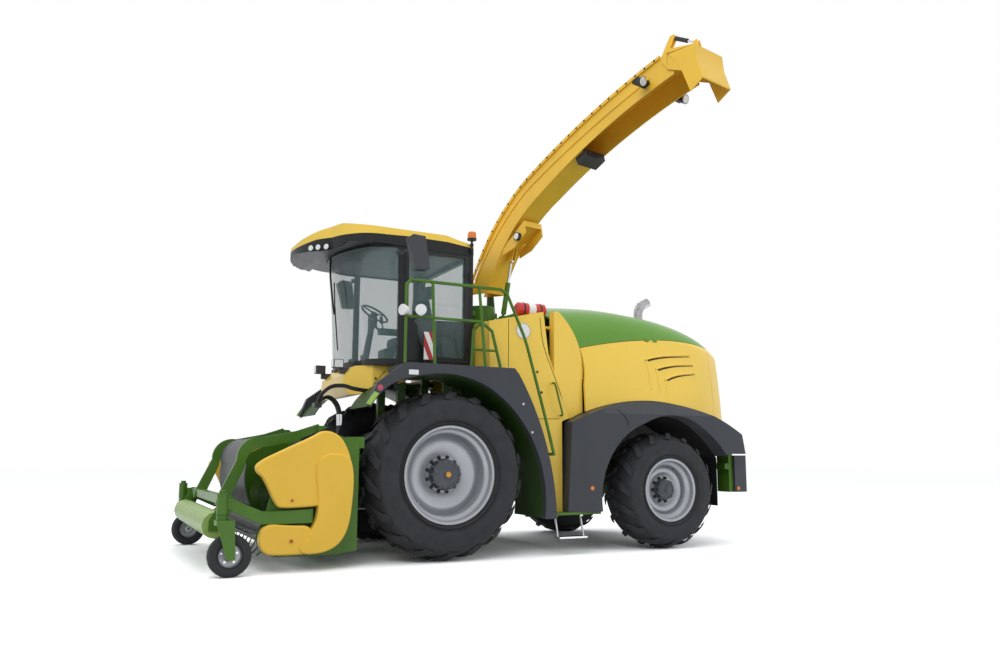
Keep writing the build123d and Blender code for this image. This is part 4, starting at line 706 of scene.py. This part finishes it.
def add_body_details():
    skin = Skin("body_front")
    seam = ribbon(skin, [(-0.84, 2.24), (-0.84, 2.5), (-0.84, 2.83)], 0.007, 0.0012)
    # Painted shade: the dark line down the sheet's fold; the seam and the joint are dark panel joints
    crease_shade = ribbon(skin, [(-1.28, 2.88), (-1.33, 2.54), (-1.5, 2.12), (-1.69, 1.66)], 0.008, 0.0012)
    joint = ribbon(skin, [(-1.13, 1.62), (-1.3, 1.625), (-1.56, 1.63)], 0.007, 0.0012)
    piece("panel_seams_and_crease_shade", pair(seam, crease_shade, joint), MATTE_BLACK)
    hit = skin.side(-1.045, 2.7)
    piece("speed_disc", rod(hit, hit + OUT * 0.003, 0.1, 48), WHITE)
    rim = circle(hit + OUT * 0.0034, AHEAD, UP, 0.096, 48)
    piece("speed_disc_rim", tube(rim + rim[:1], 0.0022, 6), DARK_STEEL)
    handle = [
        (-1.45, 1.342, 2.07), (-1.455, 1.4, 2.05), (-1.5, 1.41, 1.87), (-1.555, 1.4, 1.69),
        (-1.56, 1.342, 1.67),
    ]
    piece("grab_handle", tube(curve(handle), 0.012, 12), GREEN)
    latches = skin.discs(((-1.24, 2.2, 0.016), (-1.3, 1.95, 0.016)), 0.006, 24)
    piece("panel_latches", latches, DARK_STEEL, bevel=0.002)


def add_fender_details():
    skin = Skin("front_fenders")
    bolts = [bolt(skin.side(x, z), OUT, 0.01, 0.008) for x, z in ((-1.02, 1.45), (-0.9, 1.78))]
    piece("fender_bolts", pair(*bolts), STEEL)
    face = skin.side(0.49, 2.09).y
    lamp = block(0.43, 0.545, face - 0.004, face + 0.014, 2.062, 2.118)
    piece("fender_lamp", pair(lamp), LENS, bevel=0.006)
    outline = [(p.x, p.z) for p in circle(Vector((0.872, 0, 1.905)), AHEAD, UP, 0.034, 20)]
    piece("fender_marker", pair(patch(skin, outline, 0.006)), PINK)
    lime = patch(skin, [(0.933, 1.862), (0.882, 1.841), (0.977, 1.711), (1.024, 1.728)], 0.003)
    piece("fender_patch", pair(lime), LIME)
    rear = Skin("rear_fenders")
    markers = rear.discs(((-1.89, 0.785, 0.026), (-4.455, 0.74, 0.026)), 0.008, 24)
    piece("side_markers", markers, ORANGE, bevel=0.002)
    seam = ribbon(rear, [(-2.293, 1.762), (-2.369, 1.697), (-2.428, 1.615), (-2.439, 1.554)], 0.012, 0.0015)
    piece("fender_seams", pair(seam), MATTE_BLACK)


def add_rear_lamps():
    """Blank lamp clusters in the boxes behind the rear wheels."""
    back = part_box("rear_fenders")[0].x
    x0, x1 = back - 0.012, back + 0.004
    lenses = [block(x0, x1, 1.02, 1.12, z0, z1) for z0, z1 in ((0.98, 1.14), (0.8, 0.95))]
    piece("tail_lenses", pair(*lenses), RED, bevel=0.006)
    piece("turn_lenses", pair(block(x0, x1, 1.15, 1.25, 0.98, 1.14)), ORANGE, bevel=0.006)


# Cab

def add_roof_lamps():
    skin = Skin("roof_visor")
    rings, lenses = [], []
    for x, y in ((1.34, 0.39), (1.28, 0.48), (1.22, 0.575)):
        for sign in (1, -1):
            away = Vector((0.75, 0.66 * sign, 0.0)).normalized()
            spot = Vector((x, y * sign, 3.655))
            found = skin.tree.ray_cast(spot + away, -away)[0]
            hit = spot if found is None else found
            rings.append(rod(hit - away * 0.02, hit + away * 0.012, 0.043, 32))
            lenses.append(rod(hit + away * 0.012, hit + away * 0.02, 0.036, 32, 0.03))
    piece("roof_lamp_rings", join(*rings), BLACK, bevel=0.003)
    piece("roof_lamp_lenses", join(*lenses), LENS, bevel=0.004)


def cushion(name, centre, size, tilt, puff=0.35):
    """A padded block with crowned faces and rounded corners."""
    work = bmesh.new()
    bmesh.ops.create_cube(work, size=1.0)
    bmesh.ops.subdivide_edges(work, edges=work.edges[:], cuts=7, use_grid_fill=True)
    for v in work.verts:
        p = v.co * 2
        inside = [sqrt(max(0.0, 1 - 0.5 * (c * c))) for c in p]
        crown = 1 + puff * 0.5 * (1 - p.x * p.x) * (1 - p.y * p.y)
        v.co = Vector((
            p.x * (0.55 + 0.45 * inside[1] * inside[2] ** 0.4) / 2,
            p.y * (0.55 + 0.45 * inside[0] * inside[2] ** 0.4) / 2,
            p.z * crown * (0.62 + 0.38 * inside[0] * inside[1]) / 2))
    turn = Matrix.Rotation(radians(tilt), 4, "Y")
    work.transform(Matrix.Translation(centre) @ turn @ Matrix.Diagonal((*size, 1)))
    shape = [v.co.copy() for v in work.verts], [tuple(v.index for v in f.verts) for f in work.faces]
    work.free()
    obj = mesh_object(name, shape, SEAT_CLOTH, 60)
    smooth = obj.modifiers.new("smooth", "SUBSURF")
    smooth.levels = 1
    smooth.render_levels = 1
    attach(obj, "chassis")


def add_seat():
    cushion("seat_pad", (-0.03, 0, 2.625), (0.5, 0.5, 0.13), 0)
    cushion("seat_back", (-0.235, 0, 2.95), (0.62, 0.48, 0.12), 98)
    cushion("seat_head", (-0.31, 0, 3.33), (0.17, 0.28, 0.09), 96, 0.2)
    shapes = [
        block(-0.25, 0.1, -0.2, 0.2, CAB_FLOOR, 2.5),
        block(-0.15, 0.26, -0.39, -0.27, 2.775, 2.857),
        block(-0.12, -0.04, -0.35, -0.24, 2.6, 2.78),
        rod((0.24, -0.33, 2.815), (0.32, -0.42, 2.935), 0.016, 16),
        rod((0.2, -0.33, 2.857), (0.22, -0.33, 2.93), 0.01, 12),
        rod((0.22, -0.33, 2.925), (0.235, -0.33, 3.02), 0.026, 20, 0.02),
    ]
    for k in range(5):
        fold, z = 0.008 * (k % 2), 2.5 + 0.012 * k
        shapes.append(block(-0.24 + fold, 0.09 - fold, -0.19 + fold, 0.19 - fold, z, z + 0.012))
    piece("seat_base", join(*shapes), INTERIOR, bevel=0.008, replaces=["cab_interior"])
    piece("monitor", block(0.3, 0.345, -0.56, -0.29, 2.855, 3.055), INTERIOR, bevel=0.01)
    piece("monitor_face", block(0.2965, 0.3, -0.55, -0.3, 2.867, 3.043), SCREEN)


def add_controls():
    column = join(
        rod((0.558, 0, 2.305), (0.455, 0, 2.9), 0.045, 24, 0.036),
        block(0.49, 0.63, -0.06, 0.06, CAB_FLOOR, 2.33))
    way = Vector((-0.5, 0, 0.866))
    centre = Vector((0.432, 0, 2.992))
    u, w = basis(way)
    ring = circle(centre, u, w, 0.186, 48)
    spokes = [rod(centre, centre + (u * cos(a) + w * sin(a)) * 0.18, 0.01, 10)
              for a in (0.5, 2.6, 4.71)]
    hub = rod(centre - way * 0.06, centre + way * 0.012, 0.045, 24)
    piece("steering_wheel", join(tube(ring + ring[:1], 0.013, 12), hub, column, *spokes), INTERIOR)
    console = [(-0.5, CAB_FLOOR), (0.1, CAB_FLOOR), (0.1, 2.62), (-0.2, 2.72), (-0.5, 2.74)]
    piece("side_console", slab(console, -0.84, -0.56), INTERIOR, bevel=0.02)
    pedals = [block(0.6, 0.66, y - 0.035, y + 0.035, 2.296, 2.42) for y in (-0.2, -0.33, 0.2)]
    piece("pedals", join(*pedals), DARK_STEEL, bevel=0.004)
    piece("floor_mat", block(-0.5, 0.72, -0.5, 0.82, 2.2954, 2.3), MATTE_BLACK)


def add_wipers():
    """Front wiper hanging from the visor and its blade against the screen."""
    arm = [(1.06, 0.1, 3.64), (1.075, 0.16, 3.4), (1.05, 0.22, 3.05), (1.035, 0.25, 2.9)]
    blade = [(1.045, 0.24, 3.3), (1.03, 0.25, 3.0), (1.0, 0.27, 2.62), (0.985, 0.28, 2.45)]
    piece("wiper_arm", tube(curve(arm, 5), 0.012, 10), BLACK)
    piece("wiper_blade", tube(curve(blade, 5), 0.008, 8), MATTE_BLACK)


def add_door_panel():
    """Dark lower panel of the door with its clear corner."""
    panel = [
        (0.285, 2.372), (0.285, 2.8), (-0.405, 2.825), (-0.405, 2.762), (-0.237, 2.645), (-0.044, 2.578),
        (-0.048, 2.372),
    ]
    piece("door_panel", slab(panel, 0.897, 0.9025), SKIRT, "door")


def add_nose_details():
    """Recessed bolts with painted shade over their recesses, painted shade down the fold and the small work
    light at the nose's corner.
    """
    skin = Skin("cab_nose")
    # Dark steel discs: the recessed bolt heads, with painted shade over their recesses
    pit_shades = skin.discs(((0.464, 2.16, 0.032), (0.66, 2.075, 0.016)), 0.0015, 28, 0.004)
    piece("nose_bolts_and_pit_shade", pit_shades, DARK_STEEL, bevel=0.001)
    # Painted shade: a dark line down the nose's fold
    crease_shade = ribbon(skin, [(0.69, 2.0), (0.6, 2.105), (0.52, 2.2), (0.45, 2.26)], 0.007, 0.0012)
    piece("nose_crease_shade", pair(crease_shade), MATTE_BLACK)
    case = block(0.955, 1.08, 0.36, 0.465, 2.218, 2.322)
    foot = block(0.85, 1.0, 0.395, 0.435, 2.15, 2.222)
    piece("nose_light", pair(case, foot), MIRROR_GREY, bevel=0.006)
    front = block(1.08, 1.086, 0.367, 0.458, 2.226, 2.314)
    outer = block(0.965, 1.07, 0.465, 0.469, 2.226, 2.314)
    piece("nose_light_lens", pair(front, outer), LENS, bevel=0.002)


def add_board():
    """Red and white board that stands on the deck beside the door."""
    piece("warning_board", block(0.012, 0.143, 1.02, 1.028, 2.31, 2.645), BOARD, bevel=0.002)
    posts = [block(x, x + 0.02, 1.005, 1.02, DECK, 2.62) for x in (0.025, 0.11)]
    piece("board_posts", join(*posts), BLACK, bevel=0.002)


# Beacon, lamps, exhaust and extinguisher

def add_beacon():
    dome = [(AXIS, 3.885), (0.054, 3.885), (0.056, 3.9), (0.055, 3.955), (0.048, 3.978), (0.03, 3.9845),
            (AXIS, 3.985)]
    base = [(AXIS, 3.872), (0.058, 3.872), (0.06, 3.88), (0.06, 3.896), (AXIS, 3.896)]
    piece("beacon_dome", upright(dome, BEACON_X, BEACON_Y), BEACON_GLASS)
    piece("beacon_base", upright(base, BEACON_X, BEACON_Y), BLACK)

    def collar(z0, z1, radius, sides=16):
        return rod((BEACON_X, BEACON_Y, z0), (BEACON_X, BEACON_Y, z1), radius, sides)

    piece("beacon_core", collar(3.89, 3.96, 0.022, 20), REFLECTOR)
    foot = block(-0.534, -0.506, 0.903, 0.944, 3.7, 3.724)
    stem = join(collar(3.712, 3.875, 0.014), foot, collar(3.8, 3.83, 0.024), collar(3.75, 3.77, 0.022))
    piece("beacon_stem", stem, BLACK, bevel=0.002, replaces=["beacon"])


def add_rail_lamps():
    lenses, rings = [], []
    for centre, way in (((0.625, 1.574, 2.79), (0.9, 0.4, 0)), ((0.42, 1.617, 2.8), (0.5, 0.85, 0))):
        centre, way = Vector(centre), Vector(way).normalized()
        lenses.append(rod(centre, centre + way * 0.006, 0.056, 32, 0.05))
        rings.append(rod(centre - way * 0.012, centre + way * 0.003, 0.0635, 32))
    piece("rail_lamp_lenses", join(*lenses), LENS)
    piece("rail_lamp_rings", join(*rings), WHITE, bevel=0.002)


def add_exhaust():
    """Bright bent tail pipe with an open mouth and painted shade deep in its bore."""
    bends = [(-3.48, 0.38, 2.96), (-3.48, 0.38, 3.2), (-3.492, 0.381, 3.3), (-3.545, 0.387, 3.372),
             (-3.645, 0.398, 3.428)]
    path = curve(bends, 8)
    rings = rings_along(path, 0.066, 40)
    centre, way = path[-1], (path[-1] - path[-2]).normalized()
    rim = [centre + (v - centre) * 0.93 for v in rings[-1]]
    deep = [v - way * 0.16 for v in rim]
    piece("tail_pipe", stack(rings + [rim, deep]), PIPE_STEEL, replaces=["exhaust_pipe"], sharp=50)
    # Painted shade: a black plug standing for the dark depth of the bore
    bore_shade = rod(centre - way * 0.15, centre - way * 0.02, 0.0605, 32)
    piece("tail_pipe_bore_shade", bore_shade, MATTE_BLACK)


def add_bottle():
    """Red bottle with a white band and two straps, lying on its two feet."""
    low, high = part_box("extinguisher")
    y, z, radius = 1.0, 3.035, 0.085
    shoulder, seam = 0.03, 0.002
    red = 1.15 * (high.x - low.x) / 3

    def drum(x0, x1, first, last):
        profile = [
            (AXIS, x0), (radius - first, x0), (radius, x0 + first), (radius, x1 - last),
            (radius - last, x1), (AXIS, x1),
        ]
        verts, faces = lathe(profile, 48)
        return [Vector((p.y, y + p.x, z + p.z)) for p in verts], faces

    ends = join(drum(low.x, low.x + red, shoulder, seam), drum(high.x - red, high.x, seam, shoulder))
    piece("bottle_red", ends, RED, replaces=["extinguisher"])
    piece("bottle_white", drum(low.x + red, high.x - red, seam, seam), WHITE)
    straps = [rod((x - 0.01, y, z), (x + 0.01, y, z), radius + 0.003, 48) for x in STRAP_XS]
    feet = [block(x - 0.02, x + 0.02, 0.96, 1.04, 2.8055, 2.96) for x in STRAP_XS]
    piece("bottle_straps", join(*straps, *feet), DARK_STEEL)


# Spout

def arc_through(first, middle, last, count):
    """Evenly spaced points on the arc through three (s, z) points."""
    (ax, ay), (bx, by), (cx, cy) = first, middle, last
    a2, b2, c2 = [x * x + y * y for x, y in (first, middle, last)]
    turn = 2 * (ax * (by - cy) + bx * (cy - ay) + cx * (ay - by))
    ox = (a2 * (by - cy) + b2 * (cy - ay) + c2 * (ay - by)) / turn
    oy = (a2 * (cx - bx) + b2 * (ax - cx) + c2 * (bx - ax)) / turn
    radius = hypot(ax - ox, ay - oy)
    start, end = atan2(ay - oy, ax - ox), atan2(cy - oy, cx - ox)
    for k in range(count):
        a = start + (end - start) * (k + 0.5) / count
        yield ox + radius * cos(a), oy + radius * sin(a)


def add_spout_details():
    """Bolt rows on the lip, lamp lenses and the lamp at the spout's root."""
    heads = []
    rows = [*arc_through((-0.03, 3.495), (0.37, 4.065), (1.125, 4.668), 11),
            *arc_through((1.125, 4.668), (2.297, 5.145), (3.45, 5.472), 17)]
    for s, z in rows:
        half = 0.141 + 0.02 * (s + 0.2)
        for sign in (1, -1):
            heads.append(bolt(spout_at(s, sign * (half + 0.0185), z), SPOUT_SIDE * sign, 0.01, 0.009))
    piece("spout_bolts", join(*heads), DARK_STEEL, "spout")
    lens = []
    way = (SPOUT_WAY * 0.9 - UP * 0.3).normalized()
    for sign in (1, -1):
        centre = spout_at(3.33, 0.36 * sign, 5.2)
        lens.append(rod(centre, centre + way * 0.008, 0.048, 32, 0.042))
    foot = spout_at(0.985, 0.19, 3.985)
    lens.append(rod(foot, foot + SPOUT_SIDE * 0.008, 0.046, 32, 0.04))
    piece("spout_lamp_lenses", join(*lens), LENS, "spout")
    ring = rod(foot - SPOUT_SIDE * 0.004, foot + SPOUT_SIDE * 0.003, 0.056, 32)
    piece("spout_lamp_ring", ring, BLACK, "spout")


# Header end guards as (x, z) outlines, from their inner face to their outer one
SHIELD_UPPER = [
    (2.17, 1.095), (2.16, 1.0), (2.085, 0.95), (1.955, 0.67), (1.9, 0.64), (1.5, 0.655), (1.3, 0.7),
    (1.195, 0.95), (1.18, 1.1), (1.235, 1.26), (1.32, 1.385), (1.48, 1.44), (1.6, 1.365), (1.86, 1.245),
]
SHIELD_COVER = [
    (1.165, 1.02), (1.21, 1.17), (1.4, 1.205), (1.545, 1.15), (1.565, 0.99), (1.535, 0.8), (1.525, 0.56),
    (1.6, 0.4), (1.755, 0.18), (1.4, 0.185), (1.205, 0.37), (1.16, 0.8),
]
SHIELD_TOE = [
    (1.56, 0.465), (1.8, 0.47), (2.06, 0.5), (2.125, 0.34), (2.06, 0.195), (1.9, 0.18), (1.7, 0.18),
    (1.56, 0.19),
]
SHIELD_INNER = 1.573
SHIELD_OUTER = 1.68
COVER_OUTER = 1.699
HEADER_END = 1.5155


def cut_corners(points):
    """A closed outline with its corners worn round in three passes."""
    for _ in range(3):
        worn = []
        for a, b in zip(points, points[1:] + points[:1]):
            worn.append((a[0] * 0.75 + b[0] * 0.25, a[1] * 0.75 + b[1] * 0.25))
            worn.append((a[0] * 0.25 + b[0] * 0.75, a[1] * 0.25 + b[1] * 0.75))
        points = worn
    return points


def add_header_details():
    """End guards in three smooth shells on pegs, with their washers and bolts."""
    upper = slab(cut_corners(SHIELD_UPPER), SHIELD_INNER, SHIELD_OUTER)
    toe = slab(cut_corners(SHIELD_TOE), SHIELD_INNER, SHIELD_OUTER)
    cover = slab(cut_corners(SHIELD_COVER), SHIELD_INNER, COVER_OUTER)
    pegs = [rod((x, HEADER_END, z), (x, 1.6, z), 0.025, 20)
            for x, z in ((1.36, 0.9), (1.6, 0.33), (1.65, 1.13))]
    base = piece(
        "shield_base", pair(upper, toe, *pegs), SHIELD_YELLOW, "header", bevel=0.022,
        replaces=["header_shields"])
    lid = piece("shield_cover", pair(cover), SHIELD_YELLOW, "header", bevel=0.018)
    for obj in (base, lid):
        obj.modifiers["edge"].segments = 4
    seal = slab([(1.38, 1.32), (1.7, 1.27), (1.69, 1.345), (1.38, 1.475)], HEADER_END, 1.52)
    piece("end_seal", pair(seal), MATTE_BLACK, "header")
    caps, rings = [], []
    for x, z, radius in ((1.797, 0.72, 0.02), (1.79, 0.319, 0.027)):
        spot = Vector((x, SHIELD_OUTER, z))
        rings.append(rod(spot - OUT * 0.004, spot + OUT * 0.003, radius, 28))
        caps.append(bolt(spot, OUT, radius * 0.45, 0.01))
    piece("shield_washers", pair(*rings), CAP_ORANGE, "header")
    piece("shield_bolts", pair(*caps), DARK_STEEL, "header")


# Hoses from beside the cab's nose down to the header
HOSES = 4
COUPLER_Z = 1.722
SUPPLY_PATH = (
    (0.43, 0.845, 1.965), (0.58, 0.85, 1.95), (0.76, 0.85, 1.912), (0.93, 0.835, 1.93), (1.04, 0.74, 1.968),
    (1.16, 0.65, 1.955),
)


def bending(name, shapes, paint):
    obj = mesh_object(name, join(*shapes), paint)
    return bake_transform(obj)


def add_hoses():
    supply, drop, sleeves = [], [], []
    for k in range(HOSES):
        side, rise = 0.016 * (k % 2), 0.022 * (k // 2)
        path = [(x, y + side, z + rise) for x, y, z in SUPPLY_PATH]
        path += [(1.258 + rise / 2, 0.61 + side, 1.862 + rise / 2), (1.3, 0.6 + side * 1.5, 1.775)]
        supply.append(tube(curve(path, 8), 0.0125))
        y, bow = 0.56 + 0.028 * k, 0.018 * (k % 2)
        path = curve([
            (1.29, y, 1.752), (1.235, y, 1.822 + bow), (1.16, y, 1.838 + bow),
            (1.085 - bow / 2, y, 1.775 + bow), (1.045 - bow, y, 1.68), (1.035 - bow, y, 1.56),
            (1.04, y, 1.46), (1.06, y, 1.366)], 8)
        drop.append(tube(path, 0.011))
        sleeves.append(tube(path[34:44], 0.0155, 16))
    boss_z = COUPLER_Z + 0.028
    coupler = [
        block(1.262, 1.345, 0.548, 0.668, COUPLER_Z, COUPLER_Z + 0.055),
        rod((1.27, 0.53, boss_z), (1.27, 0.548, boss_z), 0.018, 16),
    ]
    bending("supply_hoses", supply, HOSE)
    bending("drop_hoses", drop, HOSE)
    bending("hose_sleeves", sleeves, STEEL)
    bending("hose_coupler", coupler, DARK_STEEL)
    clamp = block(0.395, 0.465, 0.798, 0.876, 1.945, 2.015)
    plate = block(0.385, 0.475, 0.798, 0.806, 1.96, 2.12)
    piece("hose_clamp", join(clamp, plate), DARK_STEEL, bevel=0.003)


# Intake screw: two opposed helical flights that push towards the middle
AUGER_TUBE_R = 0.13
AUGER_FLIGHT_R = 0.2695
AUGER_TURN = 0.52
FLIGHT_START = 0.16
FLIGHT_END = 1.42
FLIGHT_STEPS = 110


def add_auger():
    low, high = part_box("feed_auger")
    x, z = (low.x + high.x) / 2, (low.z + high.z) / 2
    shapes = [rod((x, -1.46, z), (x, 1.46, z), AUGER_TUBE_R - 0.001, 48)]
    root = AUGER_TUBE_R - 0.01
    section = ((root, -0.004), (AUGER_FLIGHT_R, -0.003), (AUGER_FLIGHT_R, 0.003), (root, 0.004))
    for sign in (1, -1):
        rings = []
        for k in range(FLIGHT_STEPS + 1):
            y = FLIGHT_START + (FLIGHT_END - FLIGHT_START) * k / FLIGHT_STEPS
            c, s = cos(tau * y / AUGER_TURN), sin(tau * y / AUGER_TURN)
            rings.append([Vector((x + r * c, sign * (y + dy), z + r * s)) for r, dy in section])
        shapes.append(stack(rings))
    piece("auger_screw", join(*shapes), GREEN, "auger", replaces=["feed_auger"], sharp=50)


# Pickup reel: a drum with rows of paired spring tines
REEL_X, REEL_Z = 1.93, 0.365
TINE_ROWS = 5
TINES_A_ROW = 12


def add_reel():
    centre = Vector((REEL_X, 0, REEL_Z))
    shapes = [rod((REEL_X, -1.459, REEL_Z), (REEL_X, 1.459, REEL_Z), 0.1185, 40)]
    for row in range(TINE_ROWS):
        lean = radians(72 * row + 20)
        for k in range(TINES_A_ROW):
            y = -1.4 + 0.026 * row + 0.232 * k
            points = []
            for t in range(6):
                r = 0.1 + 0.148 * t / 5
                a = lean - 0.16 * (t / 5) ** 2
                points.append(centre + Vector((r * sin(a), y, r * cos(a))))
            for dy in (-0.018, 0.018):
                shapes.append(tube([p + OUT * dy for p in points], 0.0042, 6))
    piece("reel_tines", join(*shapes), DARK_STEEL, "reel", replaces=["pickup_reel"], sharp=50)


def build():
    for look, names in CAD_LOOKS:
        for name in names.split():
            dress_node(name, look)
    for side in ("left", "right"):
        add_wheel(FRONT, "front", side)
        add_wheel(REAR, "rear", side)
        add_gauge_wheel(side)
    for add in (add_hood_details, add_body_details, add_fender_details, add_rear_lamps, add_roof_lamps,
                add_seat, add_controls, add_wipers, add_door_panel, add_nose_details, add_board, add_beacon,
                add_rail_lamps, add_exhaust, add_bottle, add_spout_details, add_header_details, add_hoses,
                add_auger, add_reel):
        add()


# Studio

SKY_SOFT = 0.74
FLOOR_BOUNCE = 0.42
FLOOR_SEEN = 1.42
FLOOR_REACH = 60.0
# Each light: name, place, target, size and power
LIGHTS = (
    ("key", (6.0, 9.0, 8.5), (-0.8, 0, 1.6), (7, 5), 420),
    ("top", (-1.0, 0.5, 11.0), (-1.0, 0, 0), (11, 8), 420),
    ("fill", (-8.0, 7.5, 4.5), (-1.5, 0, 1.8), (5, 4), 160),
    ("back", (-2.0, -9.0, 7.5), (-1.0, 0, 2.0), (8, 4), 260),
)


def add_camera():
    """The solved camera: turned to its heading, tilted up and rolled."""
    lens = bpy.data.cameras.new("camera")
    lens.sensor_width = 36
    lens.lens = CAM_LENS
    lens.clip_end = 200
    camera = bpy.data.objects.new("camera", lens)
    turn = Matrix.Rotation(pi - CAM_YAW, 4, "Z") @ Matrix.Rotation(pi / 2 + CAM_PITCH, 4, "X")
    camera.matrix_world = Matrix.Translation(CAM_PLACE) @ turn @ Matrix.Rotation(CAM_ROLL, 4, "Z")
    SCENE.collection.objects.link(camera)
    SCENE.camera = camera


def area_light(name, place, target, size, power):
    lamp = bpy.data.lights.new(name, "AREA")
    lamp.shape = "RECTANGLE"
    lamp.size, lamp.size_y = size
    lamp.energy = power
    obj = bpy.data.objects.new(name, lamp)
    obj.location = place
    obj.visible_glossy = False
    obj.rotation_euler = (Vector(target) - Vector(place)).to_track_quat("-Z", "Y").to_euler()
    SCENE.collection.objects.link(obj)


def seen_directly(tree):
    """1 for rays from the camera, off gloss or through glass."""
    rays = node(tree, "LightPath", {}).outputs
    seen = rays["Is Camera Ray"]
    for other in ("Is Glossy Ray", "Is Transmission Ray"):
        seen = node(tree, "Math", {0: seen, 1: rays[other]}, operation="MAXIMUM").outputs[0]
    return seen


def pale_floor():
    """Bright where it is looked at, duller for the light that it throws back."""
    made, tree, bsdf = shader("pale floor")
    tree.nodes.remove(bsdf)
    shades = {"To Min": FLOOR_BOUNCE, "To Max": FLOOR_SEEN, "Value": seen_directly(tree)}
    matt = node(tree, "BsdfDiffuse", {"Color": node(tree, "MapRange", shades).outputs["Result"]})
    feed(tree, tree.nodes["Material Output"], {"Surface": matt.outputs["BSDF"]})
    return made


def add_studio():
    world = bpy.data.worlds.new("studio")
    SCENE.world = world
    world.use_nodes = True
    tree = world.node_tree
    soft = tree.nodes["Background"]
    feed(tree, soft, {"Color": (0.93, 0.96, 1.0, 1), "Strength": SKY_SOFT})
    white = node(tree, "Background", {"Color": (1, 1, 1, 1), "Strength": 1.0})
    blend = {"Fac": seen_directly(tree), 1: soft.outputs["Background"], 2: white.outputs["Background"]}
    mix = node(tree, "MixShader", blend)
    feed(tree, tree.nodes["World Output"], {"Surface": mix.outputs["Shader"]})

    floor_mesh = bpy.data.meshes.new("floor")
    corners = [(x * FLOOR_REACH, y * FLOOR_REACH, 0) for x, y in ((-1, -1), (1, -1), (1, 1), (-1, 1))]
    floor_mesh.from_pydata(corners, [], [(0, 1, 2, 3)])
    floor = bpy.data.objects.new("floor", floor_mesh)
    SCENE.collection.objects.link(floor)
    floor_mesh.materials.append(pale_floor())

    for light in LIGHTS:
        area_light(*light)
    SCENE.view_settings.view_transform = "Standard"


build()
add_camera()
add_studio()
